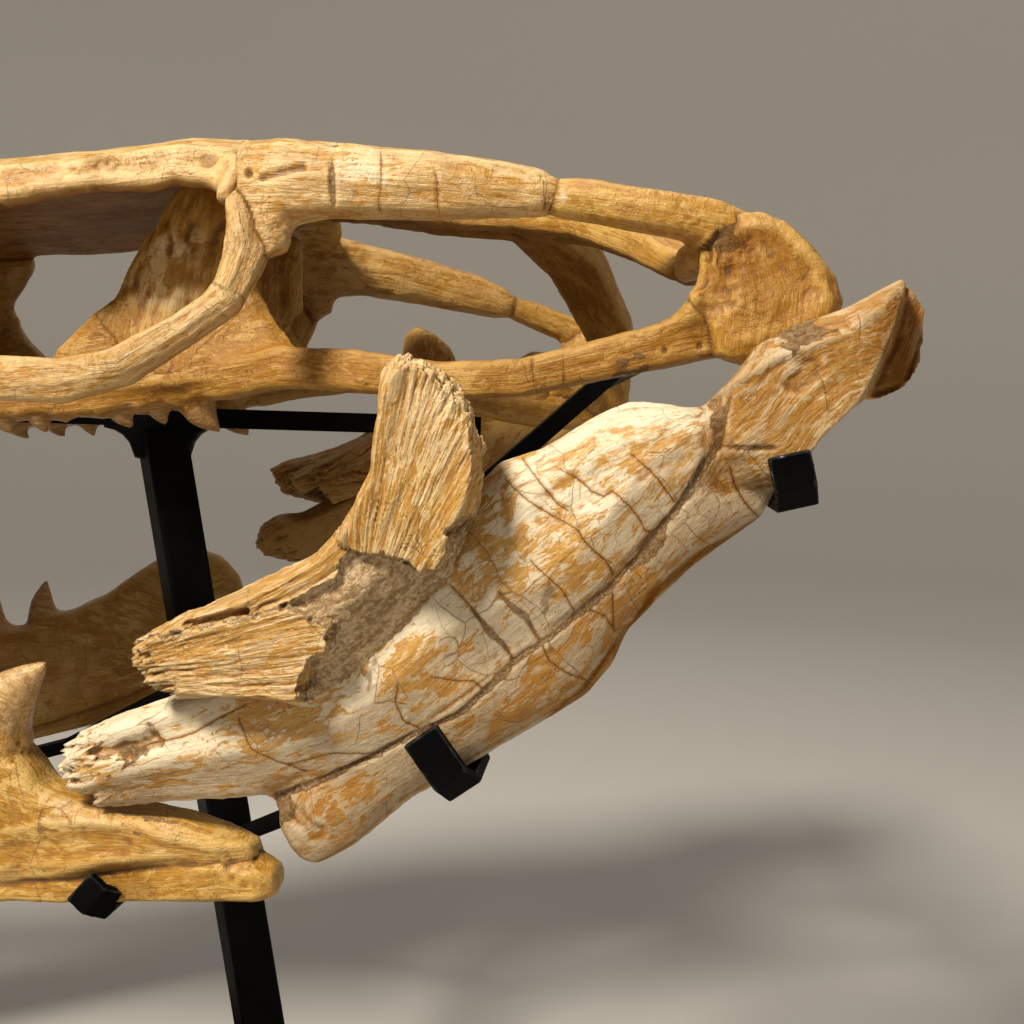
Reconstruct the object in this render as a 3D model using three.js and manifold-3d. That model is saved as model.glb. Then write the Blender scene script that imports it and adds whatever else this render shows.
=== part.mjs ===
// Mounted fossil skull of a mosasaur, open-mouthed, on its steel display stand.
// Frame: millimetres, origin at the middle of the underside of the base plate,
// +X to the rear of the animal, +Y to its right side, +Z up.
import * as THREE from "three";
import { mergeVertices } from "three/addons/utils/BufferGeometryUtils.js";
import Module from "manifold-3d";

const wasm = await Module();
wasm.setup();

const V = (x, y, z) => new THREE.Vector3(x, y, z);
const OUT = V(0, 1, 0);
const UP = V(0, 0, 1);

const GAP = 0.5; // clearance left in every suture and under every clip
const TOOTH_SIDES = 4;
const SOCKETED = { boxy: 5, flat: true }; // sections of the bones that carry teeth
const TRIM = 0.1; // facets flatter than this are merged

const ROLL = THREE.MathUtils.degToRad(2); // the cranium leans to its right
const ROLL_AXIS = V(0, -130, 600);

// Each half of the lower jaw hangs in its own pose: origin at the joint behind
// the dentary, pitch up to the rear, splay out to the rear. It is bent upwards,
// by `bend` for each millimetre behind BEND_FROM.
const BEND_FROM = 205;
const JAW = {
  left: {
    sign: -1,
    rear: { origin: [152, 150, 306], pitch: 35, splay: 10.2 },
    front: { origin: [150, 150, 276], pitch: 3.5, splay: 11.8 },
    whole: true,
    coronoidShift: 0,
    bend: 0,
    articularEnd: 410,
    dentaryEnd: "broken",
  },
  right: {
    sign: 1,
    rear: { origin: [132, 150, 352], pitch: 31.5, splay: 10.2 },
    front: { origin: [105, 146, 322], pitch: 12, splay: 11.8 },
    whole: false,
    coronoidShift: 10,
    bend: 0.2,
    articularEnd: 350,
    dentaryEnd: "flange",
  },
};

// Crushing has lowered the right rear of the cranium behind DROOP.from.
const DROOP = { from: 200, slope: 0.16, fullAt: 120 };

// The right pterygoid is bowed upwards between the palate and the quadrate,
// and the right quadrate has swung forwards on the squamosal.
const BOW = { from: 110, to: 330, rise: 15 };
const SWING = { pivot: V(384, 0, 612), angle: 38, shift: V(-14, -12, 8) };

const BASE = { length: 640, width: 360, height: 12 };
const POST = { foot: [138, -26, BASE.height], head: [63, 0, 515], size: 26, turn: 28 };
const SPINE = { front: [-300, 0, 533], rear: [262, 0, 516], high: 12, wide: 14 };
const STRIP = { width: 19, thick: 5 }; // flat steel of the clips
const ROD = 9; // square rod that links the clips

// ---------------------------------------------------------------- builders

// A closed solid from points and the index triples of its faces.
function solidOf(points, faces) {
  const flat = new Float32Array(points.length * 3);
  points.forEach((p, i) => p.toArray(flat, i * 3));
  const geometry = new THREE.BufferGeometry();
  geometry.setAttribute("position", new THREE.BufferAttribute(flat, 3));
  geometry.setIndex(faces);
  const merged = mergeVertices(geometry, 1e-4);
  const build = (triVerts) =>
    new wasm.Manifold(
      new wasm.Mesh({ numProp: 3, vertProperties: merged.attributes.position.array, triVerts }),
    );
  const index = Uint32Array.from(merged.index.array);
  const made = build(index);
  if (made.volume() > 0) return made;
  return build(index.map((_, i) => index[i - (i % 3) + [0, 2, 1][i % 3]]));
}

// The skin over rings that all hold the same number of points, flat at both ends.
function skin(rings) {
  const n = rings[0].length;
  const last = (rings.length - 1) * n;
  const faces = [];
  for (let r = 0; r < last; r += n)
    for (let k = 0; k < n; k++) {
      const next = (k + 1) % n;
      faces.push(r + k, r + next, r + next + n);
      faces.push(r + k, r + next + n, r + k + n);
    }
  for (let k = 1; k < n - 1; k++) {
    faces.push(0, k + 1, k);
    faces.push(last, last + k, last + k + 1);
  }
  return solidOf(rings.flat(), faces);
}

// A superellipse round a centre, with half-axis vectors a and b; a flat one
// (of 4 or 8 sides) has an edge, not a corner, at the end of each axis.
function oval(centre, a, b, sides, boxy, flat = false) {
  const soften = (v) => Math.sign(v) * Math.abs(v) ** (2 / boxy);
  const reach = flat ? soften(Math.cos(Math.PI / sides)) : 1;
  return Array.from({ length: sides }, (_, k) => {
    const turn = (2 * Math.PI * (k + (flat ? 0.5 : 0))) / sides;
    return centre
      .clone()
      .addScaledVector(a, soften(Math.cos(turn)) / reach)
      .addScaledVector(b, soften(Math.sin(turn)) / reach);
  });
}

// A limb through stations [x, y, z, across, high]; across lies along `side`.
function bar(stations, { grow = 0, side = OUT, sides = 8, boxy = 2.5, steps = 1, flat = false } = {}) {
  const curve = new THREE.CatmullRomCurve3(stations.map((s) => V(...s)));
  const count = (stations.length - 1) * steps;
  const rings = Array.from({ length: count + 1 }, (_, i) => {
    const at = i / count;
    const from = Math.min(Math.floor(i / steps), stations.length - 2);
    const share = i / steps - from;
    const size = (k) => THREE.MathUtils.lerp(stations[from][k], stations[from + 1][k], share);
    const along = curve.getTangent(at);
    const a = side.clone().addScaledVector(along, -side.dot(along)).normalize();
    const b = along.clone().cross(a);
    const centre = curve.getPoint(at);
    if (i === 0) centre.addScaledVector(along, -grow);
    if (i === count) centre.addScaledVector(along, grow);
    a.multiplyScalar(size(3) / 2 + grow);
    b.multiplyScalar(size(4) / 2 + grow);
    return oval(centre, a, b, sides, boxy, flat);
  });
  return skin(rings);
}

// A plate through cross-sections [one edge, other edge, thickness].
function sheet(stations, { grow = 0, sides = 8, boxy = 3, flat = false } = {}) {
  const middles = stations.map(([p, q]) => V(...p).add(V(...q)).multiplyScalar(0.5));
  const rings = stations.map(([p, q, thick], i) => {
    const before = middles[Math.max(i - 1, 0)];
    const after = middles[Math.min(i + 1, stations.length - 1)];
    const along = after.clone().sub(before).normalize();
    const a = V(...q).sub(V(...p));
    const reach = a.length() / 2;
    a.normalize();
    const b = along.clone().cross(a).normalize();
    const centre = middles[i].clone();
    if (i === 0) centre.addScaledVector(along, -grow);
    if (i === stations.length - 1) centre.addScaledVector(along, grow);
    a.multiplyScalar(reach + grow);
    b.multiplyScalar(thick / 2 + grow);
    return oval(centre, a, b, sides, boxy, flat);
  });
  return skin(rings);
}

// A jaw bone through upright sections [x, low, high, out, thickness].
function slab(stations, options = {}) {
  return sheet(
    stations.map(([x, low, high, out, thick]) => [[x, out, low], [x, out, high], thick]),
    options,
  );
}

// A roof bone through sections [x, half width, height of the rim, thickness, dome].
function roof(stations, { grow = 0 } = {}) {
  const rings = stations.map(([x, half, z, thick, dome], i) => {
    const spare = 2 * grow;
    const shift = i === 0 ? -spare : i === stations.length - 1 ? spare : 0;
    const w = half + spare;
    const t = thick / 2 + spare;
    const point = (y, h) => V(x + shift, y * w, h);
    return [
      point(0, z + t + dome),
      point(-0.6, z + t + dome * 0.65),
      point(-1, z + 0.5 * t),
      point(-1, z - 0.7 * t),
      point(-0.6, z - t + dome * 0.6),
      point(0, z - t + dome * 0.75),
      point(0.6, z - t + dome * 0.6),
      point(1, z - 0.7 * t),
      point(1, z + 0.5 * t),
      point(0.6, z + t + dome * 0.65),
    ];
  });
  return skin(rings);
}

// A recurved tooth: a sunk root ring, a bent middle ring and the tip.
function tooth(base, tip, radius) {
  const foot = V(...base);
  const end = V(...tip);
  const along = end.clone().sub(foot);
  const a = V(1, 0, 0).addScaledVector(along, -along.x / along.lengthSq()).normalize();
  const b = along.clone().cross(a).normalize();
  const bend = a.clone().multiplyScalar(Math.sign(tip[0] - base[0] || 1) * -0.16 * radius);
  const root = oval(foot.clone().addScaledVector(along, -0.2), a.clone().multiplyScalar(radius),
    b.clone().multiplyScalar(radius * 0.85), TOOTH_SIDES, 2);
  const middle = oval(foot.clone().addScaledVector(along, 0.5).add(bend),
    a.clone().multiplyScalar(radius * 0.68), b.clone().multiplyScalar(radius * 0.56), TOOTH_SIDES, 2);
  const faces = [];
  const n = TOOTH_SIDES;
  for (let k = 0; k < n; k++) {
    const next = (k + 1) % n;
    faces.push(k, next, next + n, k, next + n, k + n, k + n, next + n, 2 * n);
  }
  for (let k = 1; k < n - 1; k++) faces.push(0, k + 1, k);
  return solidOf([...root, ...middle, end], faces);
}

// A square-cut steel bar between two points, turned about its own length.
function beam(from, to, wide, high, { turn = 0, grow = 0 } = {}) {
  const start = V(...from);
  const end = V(...to);
  const along = end.clone().sub(start).normalize();
  const reference = Math.abs(along.z) > 0.8 ? OUT : UP;
  const b = reference.clone().addScaledVector(along, -reference.dot(along)).normalize();
  const a = along.clone().cross(b);
  const angle = THREE.MathUtils.degToRad(turn);
  a.applyAxisAngle(along, angle);
  b.applyAxisAngle(along, angle);
  const ends = [start.addScaledVector(along, -grow), end.addScaledVector(along, grow)];
  a.multiplyScalar(wide / 2 + grow);
  b.multiplyScalar(high / 2 + grow);
  const rings = ends.map((centre) =>
    [[1, 1], [-1, 1], [-1, -1], [1, -1]].map(([p, q]) =>
      centre.clone().addScaledVector(a, p).addScaledVector(b, q),
    ),
  );
  return skin(rings);
}

// A flat strip bent through points [out, up] in the plane x = at, and turned
// by `lean` degrees about its own first fold.
function strip(at, path, { lean = 0, grow = 0 } = {}) {
  const points = path.map(([out, up]) => new THREE.Vector2(out, up));
  const turn = new THREE.Matrix4().makeRotationY(THREE.MathUtils.degToRad(lean));
  const pivot = V(at, points[1].x, points[1].y);
  const rings = points.map((p, i) => {
    const before = points[Math.max(i - 1, 0)];
    const after = points[Math.min(i + 1, points.length - 1)];
    const along = after.clone().sub(before).normalize();
    const half = STRIP.thick / 2 + grow;
    const wide = STRIP.width / 2 + grow;
    return [[-1, -1], [1, -1], [1, 1], [-1, 1]].map(([x, n]) =>
      V(at + x * wide, p.x - n * half * along.y, p.y + n * half * along.x)
        .sub(pivot)
        .applyMatrix4(turn)
        .add(pivot),
    );
  });
  return skin(rings);
}

// A hook that holds a jaw bone of the given half width from its underside.
function hook(at, { inner, outer, low, rise, lean = 0 }, grow = 0) {
  const slack = STRIP.thick / 2 + 0.8;
  const path = [
    [outer + slack, low + rise],
    [outer + slack, low + 5],
    [outer - 4, low - slack],
    [inner + 4, low - slack],
    [inner - slack, low + 5],
    [inner - slack, low + rise * 0.6],
  ];
  return strip(at, path, { lean, grow });
}

const join = (...parts) => parts.reduce((whole, part) => whole.add(part));
const cut = (whole, ...tools) => tools.reduce((rest, tool) => rest.subtract(tool), whole);
// What is left of a bone beside its neighbours, each given as its maker.
const beside = (whole, ...makers) => cut(whole, ...makers.map((maker) => maker(GAP)));
const biggest = (whole) => whole.decompose().sort((p, q) => q.volume() - p.volume())[0];
const moved = (whole, matrix) => whole.transform(matrix.elements);
const sided = (whole, sign) => (sign < 0 ? whole.mirror([0, 1, 0]) : whole);

function pose({ origin, pitch, splay }) {
  const turn = THREE.MathUtils.degToRad;
  return new THREE.Matrix4()
    .makeTranslation(...origin)
    .multiply(new THREE.Matrix4().makeRotationZ(turn(splay)))
    .multiply(new THREE.Matrix4().makeRotationY(-turn(pitch)));
}

// ---------------------------------------------------------------- cranium

const TOOTH_ROW = { from: -474, step: 31.5, count: 12, line: 532 };
const jawEdge = (x) => 118 + x * 0.147; // half width of the upper tooth row

function premaxilla(grow = 0) {
  const rostrum = roof(
    [
      [-622, 7, 546, 12, 2],
      [-612, 18, 545, 26, 5],
      [-585, 28, 548, 36, 8],
      [-545, 36, 552, 40, 10],
      [-508, 36, 557, 38, 14],
      [-486, 14, 578, 18, 8],
    ],
    { grow },
  );
  const narialBar = bar(
    [
      [-495, 0, 582, 20, 16],
      [-440, 0, 593, 15, 14],
      [-360, 0, 608, 12, 13],
      [-270, 0, 622, 14, 12],
    ],
    { grow, sides: 6 },
  );
  const whole = join(rostrum, narialBar);
  if (grow) return whole;
  const teeth = [-1, 1].flatMap((sign) => [
    tooth([-594, sign * 15, 535], [-590, sign * 19, 503], 9),
    tooth([-552, sign * 27, 537], [-546, sign * 32, 499], 10),
  ]);
  return join(whole, ...teeth);
}

function maxilla(grow = 0) {
  const wall = sheet(
    [
      [[-492, 20, 586], [-492, 44, 533], 30],
      [[-450, 23, 593], [-450, 51, 531], 28],
      [[-390, 31, 601], [-390, 60, 530], 27],
      [[-330, 41, 608], [-330, 69, 529], 26],
      [[-270, 54, 605], [-270, 78, 529], 25],
      [[-210, 68, 592], [-210, 87, 529], 25],
      [[-150, 83, 572], [-150, 95, 529], 24],
      [[-108, 95, 555], [-108, 102, 530], 20],
      [[-84, 102, 545], [-84, 106, 535], 12],
    ],
    { grow, ...SOCKETED },
  );
  if (grow) return wall;
  const teeth = Array.from({ length: TOOTH_ROW.count }, (_, k) => {
    const x = TOOTH_ROW.from + k * TOOTH_ROW.step;
    const out = jawEdge(x) + 1;
    const size = 1 - 0.35 * (k / TOOTH_ROW.count) ** 2;
    return tooth([x, out, TOOTH_ROW.line], [x + 9, out + 4, TOOTH_ROW.line - 38 * size], 11 * size);
  });
  return join(wall, ...teeth);
}

const prefrontal = (grow = 0) =>
  sheet(
    [
      [[-286, 40, 613], [-286, 52, 600], 8],
      [[-220, 60, 622], [-220, 84, 590], 14],
      [[-160, 74, 634], [-160, 97, 570], 17],
      [[-112, 86, 642], [-112, 106, 556], 20],
      [[-84, 91, 646], [-84, 110, 562], 24],
      [[-66, 93, 647], [-66, 106, 600], 22],
      [[-44, 94, 646], [-44, 99, 630], 12],
    ],
    { grow },
  );

const frontal = (grow = 0) =>
  roof(
    [
      [-318, 12, 606, 12, 8],
      [-262, 32, 614, 14, 10],
      [-190, 60, 626, 16, 12],
      [-110, 82, 638, 18, 14],
      [-44, 92, 646, 20, 14],
      [7, 95, 649, 21, 14],
      [60, 96, 655, 20, 15],
      [100, 98, 661, 18, 16],
      [126, 93, 662, 16, 17],
      [150, 62, 665, 16, 16],
    ],
    { grow },
  );

function parietal(grow = 0) {
  const table = roof(
    [
      [151, 60, 665, 17, 16],
      [166, 44, 664, 26, 14],
      [192, 28, 662, 34, 12],
      [232, 19, 657, 40, 10],
      [272, 17, 654, 38, 9],
      [304, 24, 650, 30, 8],
      [318, 14, 646, 22, 6],
    ],
    { grow },
  );
  const rami = [-1, 1].map((sign) =>
    bar(
      [
        [294, sign * 4, 650, 28, 42],
        [328, sign * 44, 638, 26, 44],
        [356, sign * 88, 617, 25, 42],
        [370, sign * 122, 599, 22, 36],
      ],
      { grow, side: UP, sides: 6 },
    ),
  );
  return join(table, ...rami);
}

function postorbitofrontal(grow = 0) {
  const arch = bar(
    [
      [136, 118, 640, 22, 46],
      [158, 124, 641, 30, 46],
      [182, 131, 640, 28, 39],
      [234, 138, 636, 26, 36],
      [268, 142, 634, 25, 30],
      [286, 144, 632, 25, 24],
      [293, 145, 630, 20, 18],
    ],
    { grow },
  );
  const inner = bar(
    [
      [146, 112, 652, 44, 18],
      [152, 84, 662, 38, 16],
      [156, 58, 668, 26, 14],
    ],
    { grow, side: V(1, 0, 0), sides: 6 },
  );
  const lower = bar(
    [
      [146, 121, 634, 20, 34],
      [148, 124, 616, 20, 28],
      [152, 125, 604, 16, 16],
    ],
    { grow, sides: 6 },
  );
  return join(arch, inner, lower);
}

const jugal = (grow = 0) =>
  bar(
    [
      [-118, 105, 550, 12, 10],
      [-60, 117, 546, 15, 20],
      [8, 128, 541, 18, 25],
      [48, 134, 539, 20, 25],
      [78, 136, 546, 20, 22],
      [106, 136, 563, 20, 19],
      [128, 133, 579, 20, 20],
      [137, 128, 600, 20, 23],
      [137, 125, 620, 18, 20],
      [132, 122, 634, 14, 12],
    ],
    { grow, sides: 6 },
  );

function squamosal(grow = 0) {
  const shaft = bar(
    [
      [286, 144, 631, 18, 18],
      [310, 150, 627, 21, 22],
      [345, 157, 620, 24, 23],
      [368, 160, 615, 26, 25],
      [384, 162, 611, 22, 18],
    ],
    { grow },
  );
  const prong = bar(
    [
      [374, 158, 608, 22, 24],
      [368, 138, 602, 22, 22],
      [362, 118, 599, 18, 18],
    ],
    { grow, side: UP, sides: 6 },
  );
  return join(shaft, prong);
}

const quadrate = (grow = 0) =>
  sheet(
    [
      [[381, 158, 549], [410, 166, 549], 22],
      [[366, 158, 552], [424, 172, 556], 34],
      [[362, 160, 576], [430, 177, 575], 34],
      [[361, 160, 594], [418, 174, 598], 30],
      [[365, 160, 607], [406, 169, 612], 26],
      [[372, 162, 616], [391, 165, 620], 18],
    ],
    { grow },
  );

function pterygoid(grow = 0) {
  const row = bar(
    [
      [-74, 36, 527, 14, 14],
      [-30, 42, 531, 18, 20],
      [40, 47, 536, 20, 22],
      [96, 54, 542, 20, 22],
      [150, 76, 551, 18, 24],
      [192, 96, 547, 16, 23],
      [234, 116, 541, 16, 20],
      [277, 134, 541, 17, 19],
      [318, 146, 550, 18, 20],
      [374, 159, 562, 20, 24],
    ],
    { grow, ...SOCKETED },
  );
  const fan = sheet(
    [
      [[8, 46, 534], [150, 72, 545], 16],
      [[14, 48, 562], [158, 68, 562], 13],
      [[34, 50, 579], [144, 58, 580], 12],
      [[52, 50, 594], [134, 54, 598], 12],
      [[59, 50, 614], [132, 52, 620], 12],
      [[78, 48, 642], [130, 50, 645], 11],
      [[90, 48, 658], [124, 48, 659], 9],
    ],
    { grow },
  );
  const whole = join(row, fan);
  if (grow) return whole;
  const teeth = Array.from({ length: 7 }, (_, k) => {
    const x = 90 - 25 * k;
    const size = 1 - 0.06 * k;
    const out = 51 - 0.07 * (90 - x);
    const line = 538 - 0.08 * (90 - x);
    return tooth([x, out, line - 5], [x + 7, out, line - 21 * size], 7 * size);
  });
  return join(whole, ...teeth);
}

const palatine = (grow = 0) =>
  bar(
    [
      [-236, 52, 546, 30, 8],
      [-180, 56, 544, 44, 10],
      [-120, 58, 540, 50, 12],
      [-72, 44, 532, 26, 13],
      [-50, 40, 530, 14, 12],
    ],
    { grow, sides: 6 },
  );

const vomer = (grow = 0) =>
  bar(
    [
      [-498, 0, 540, 18, 12],
      [-400, 0, 544, 28, 12],
      [-300, 0, 547, 36, 11],
      [-214, 0, 548, 48, 9],
    ],
    { grow },
  );

// ---------------------------------------------------------------- lower jaw

function surangular(jaw, grow = 0) {
  const frontEnd = jaw.whole
      ? [
          [-65, 82, 95, 10, 10],
          [-58, 71, 101, 10, 18],
          [-48, 63, 105, 9, 24],
          [-29, 50, 101, 7, 28],
          [-3, 33, 94, 5, 32],
          [17, 22, 89, 4, 36],
        ]
      : [
          [9, 70, 82, 6, 16],
          [20, 60, 90, 5, 26],
          [34, 44, 92, 4, 34],
        ];
  return slab(
    [
      ...frontEnd,
      [50, 13, 84, 3, 38],
      [90, 6, 80, 2, 40],
      [135, 10, 83, 2, 42],
      [175, 12, 90, 2, 42],
      [205, 15, 94, 2, 41],
      [226, 19, 88, 2, 40],
      [252, 26, 86, 2, 39],
      [272, 31, 82, 2, 36],
      [290, 40, 66, 2, 28],
      [300, 46, 58, 2, 16],
    ],
    { grow },
  );
}

const angular = (grow = 0) =>
  slab(
    [
      [8, -14, 8, 4, 20],
      [13, -20, 16, 4, 32],
      [34, -22, 20, 4, 36],
      [71, -18, 12, 4, 34],
      [130, -21, 12, 2, 32],
      [176, -23, 15, 1, 30],
      [193, -18, 17, 1, 29],
      [208, -8, 19, 1, 28],
      [250, 0, 29, 1, 27],
      [292, 2, 38, 1, 22],
      [306, 10, 22, 1, 12],
    ],
    { grow },
  );

function articular(jaw, grow = 0) {
  const all = [
    [280, 22, 42, 3, 20],
    [292, 16, 60, 3, 32],
    [304, 12, 62, 2, 38],
    [318, 13, 64, 1, 42],
    [334, 19, 70, 0, 44],
    [354, 22, 68, -1, 40],
    [368, 15, 63, -3, 38],
    [381, 13, 60, -6, 36],
    [393, 18, 59, -8, 32],
    [403, 30, 57, -8, 24],
    [409, 38, 52, -8, 12],
  ];
  return slab(all.filter(([x]) => x < jaw.articularEnd), { grow });
}

function coronoid(jaw, grow = 0) {
  const all = [
    [7, 97, 120, 26, 6],
    [18, 86, 123, 26, 18],
    [42, 71, 121, 26, 28],
    [64, 51, 117, 27, 30],
    [88, 48, 112, 28, 28],
    [112, 52, 108, 29, 27],
    [137, 57, 111, 30, 28],
    [157, 62, 118, 31, 30],
    [174, 73, 136, 32, 31],
    [187, 80, 150, 33, 30],
    [198, 90, 155, 33, 28],
    [206, 108, 145, 33, 24],
    [212, 120, 131, 33, 14],
  ];
  const kept = jaw.whole ? all : [[38, 98, 124, 26, 16], [52, 84, 122, 26, 26], ...all.slice(4)];
  const outer = slab(kept, { grow });
  const start = jaw.whole ? 34 : 48;
  const saddle = slab(
    [
      [start, 94, 112, 4, 36],
      [130, 86, 107, 4, 56],
      [186, 92, 116, 6, 50],
      [200, 100, 122, 10, 36],
    ],
    { grow, sides: 6 },
  );
  const inner = slab(
    [
      [start + 14, 76, 106, -22, 10],
      [130, 64, 105, -25, 12],
      [190, 84, 110, -19, 10],
    ],
    { grow, sides: 6 },
  );
  return join(outer, saddle, inner).translate([jaw.coronoidShift, 0, 0]);
}

const splenial = (grow = 0) =>
  slab(
    [
      [-430, 6, 12, 3, 6],
      [-330, 3, 14, 1, 14],
      [-240, 2, 16, 0, 20],
      [-150, 1, 15, 0, 24],
      [-100, 0, 19, 0, 26],
      [-60, 0, 25, 0, 28],
      [-22, 0, 27, 0, 30],
      [-6, 0, 24, 0, 30],
      [3, 4, 18, 0, 20],
    ],
    { grow, sides: 6 },
  );

function dentary(jaw, grow = 0) {
  const rearEnd =
    jaw.dentaryEnd === "broken"
      ? [
          [-136, 14, 96, 0, 30],
          [-128, 15, 84, 0, 28],
          [-118, 16, 64, 0, 30],
          [-98, 18, 56, 0, 32],
          [-72, 23, 50, 0, 32],
          [-46, 25, 45, 0, 30],
          [-20, 26, 36, 0, 26],
          [-7, 26, 31, 0, 16],
        ]
      : [
          [-140, 14, 84, 0, 30],
          [-100, 16, 92, 0, 28],
          [-62, 20, 108, 0, 22],
          [-33, 22, 114, 0, 18],
          [-12, 32, 100, 0, 14],
          [-3, 50, 84, 0, 9],
        ];
  const body = slab(
    [
      [-602, 20, 38, -3, 8],
      [-592, 12, 46, -2, 20],
      [-560, 8, 54, -1, 28],
      [-490, 8, 66, 0, 32],
      [-400, 10, 78, 0, 34],
      [-300, 12, 88, 0, 34],
      [-200, 13, 92, 0, 32],
      [-160, 13, jaw.dentaryEnd === "broken" ? 98 : 84, 0, 32],
      ...rearEnd,
    ],
    { grow, ...SOCKETED },
  );
  if (grow) return body;
  const crest = (x) => THREE.MathUtils.clamp(94 + (x + 200) * 0.125, 46, 92);
  const last =
    jaw.dentaryEnd === "broken"
      ? tooth([-152, 1, 92], [-119, 3, 127], 15)
      : tooth([-144, 1, 80], [-137, 3, 114], 11);
  const row = Array.from({ length: 13 }, (_, k) => {
    const x = -180 - 32.5 * k;
    const size = 1 - 0.25 * (k / 12) ** 2;
    const line = crest(x) - 6;
    return tooth([x, 1, line], [x + 10, 4, line + 6 + 38 * size], 11 * size);
  });
  return join(body, last, ...row);
}

// ---------------------------------------------------------------- assembly

const SHADES = { bone: 0xc9a878, jaw: 0xd8c6a2, steel: 0x1b1b1d };
const root = new THREE.Group();

const bones = []; // every bone in place, for the stand to clear

function place(parent, name, whole, shade) {
  const kept = biggest(whole).simplify(TRIM);
  if (shade !== "steel") bones.push(kept);
  const { vertProperties, triVerts, numProp } = kept.getMesh();
  const count = vertProperties.length / numProp;
  const flat = new Float32Array(count * 3);
  for (let i = 0; i < count; i++) {
    const from = i * numProp;
    flat.set(vertProperties.subarray(from, from + 3), i * 3);
  }
  const geometry = new THREE.BufferGeometry();
  geometry.setAttribute("position", new THREE.BufferAttribute(flat, 3));
  geometry.setIndex(new THREE.BufferAttribute(triVerts, 1));
  const material = new THREE.MeshStandardMaterial({ color: SHADES[shade], roughness: 0.7 });
  const mesh = new THREE.Mesh(geometry, material);
  mesh.name = name;
  parent.add(mesh);
}

// A turn about a line through `pivot`, as a matrix.
const about = (pivot, turn) =>
  new THREE.Matrix4()
    .makeTranslation(pivot)
    .multiply(turn)
    .multiply(new THREE.Matrix4().makeTranslation(pivot.clone().negate()));
const tilt = about(ROLL_AXIS, new THREE.Matrix4().makeRotationX(-ROLL));
const swing = about(
  SWING.pivot,
  new THREE.Matrix4().makeRotationY(THREE.MathUtils.degToRad(SWING.angle)).setPosition(SWING.shift),
);
function sag(point) {
  const behind = Math.max(0, point[0] - DROOP.from);
  point[2] -= DROOP.slope * behind * THREE.MathUtils.smoothstep(point[1], 0, DROOP.fullAt);
}
const rolled = (whole) => moved(whole, tilt).warp(sag);

function arch(point) {
  const share = THREE.MathUtils.clamp((point[0] - BOW.from) / (BOW.to - BOW.from), 0, 1);
  point[2] += BOW.rise * Math.sin(Math.PI * share) * THREE.MathUtils.smoothstep(point[1], 60, 84);
}

const MEDIAN = {
  premaxilla: premaxilla(),
  frontal: beside(frontal(), premaxilla),
  parietal: parietal(),
  vomer: beside(vomer(), premaxilla),
};
for (const [name, whole] of Object.entries(MEDIAN)) place(root, name, rolled(whole), "bone");

const pillar = {
  left: quadrate,
  right: (grow) => moved(quadrate(grow), swing),
};
for (const [side, { sign }] of Object.entries(JAW)) {
  const wing = side === "right" ? pterygoid().warp(arch) : pterygoid();
  const PAIRED = {
    maxilla: beside(maxilla(), premaxilla, frontal),
    prefrontal: beside(prefrontal(), frontal, maxilla),
    jugal: beside(jugal(), maxilla, prefrontal, postorbitofrontal),
    postorbitofrontal: beside(postorbitofrontal(), frontal, parietal),
    squamosal: beside(squamosal(), postorbitofrontal, parietal),
    quadrate: beside(pillar[side](0), squamosal, parietal),
    pterygoid: beside(wing, frontal, pillar[side], jugal),
    palatine: beside(palatine(), maxilla, pterygoid, vomer),
  };
  for (const [name, whole] of Object.entries(PAIRED))
    place(root, name + "_" + side, rolled(sided(whole, sign)), "bone");
}

for (const [side, jaw] of Object.entries(JAW)) {
  const rear = pose(jaw.rear);
  const front = pose(jaw.front);
  const inWorld = (whole, matrix) => sided(moved(whole, matrix), jaw.sign);
  const bent = (maker) => (grow) =>
    maker(grow).warp((point) => {
      point[2] += jaw.bend * Math.max(0, point[0] - BEND_FROM);
    });
  const plate = bent((grow) => surangular(jaw, grow));
  const keel = bent(angular);
  const hindmost = bent((grow) => articular(jaw, grow));
  const REAR = {
    surangular: plate(0),
    angular: beside(keel(0), plate),
    articular: beside(hindmost(0), plate, keel),
    coronoid: beside(coronoid(jaw), plate),
  };
  const above = [pillar[side], squamosal].map(
    (maker) => (grow) => rolled(sided(maker(grow), jaw.sign)),
  );
  for (const [name, whole] of Object.entries(REAR))
    place(root, name + "_" + side, beside(inWorld(whole, rear), ...above), "jaw");
  const FRONT = {
    splenial: splenial(),
    dentary: beside(dentary(jaw), splenial),
  };
  const behind = [plate, keel].map((maker) => (grow) => inWorld(maker(grow), rear));
  for (const [name, whole] of Object.entries(FRONT))
    place(root, name + "_" + side, beside(inWorld(whole, front), ...behind), "bone");
}

// ---------------------------------------------------------------- stand

// A point of the left or right jaw, from the frame of its rear or front half.
function jawPoint(side, half, [x, out, up]) {
  const point = V(x, out, up).applyMatrix4(pose(JAW[side][half]));
  point.y *= JAW[side].sign;
  return point.toArray();
}

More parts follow.
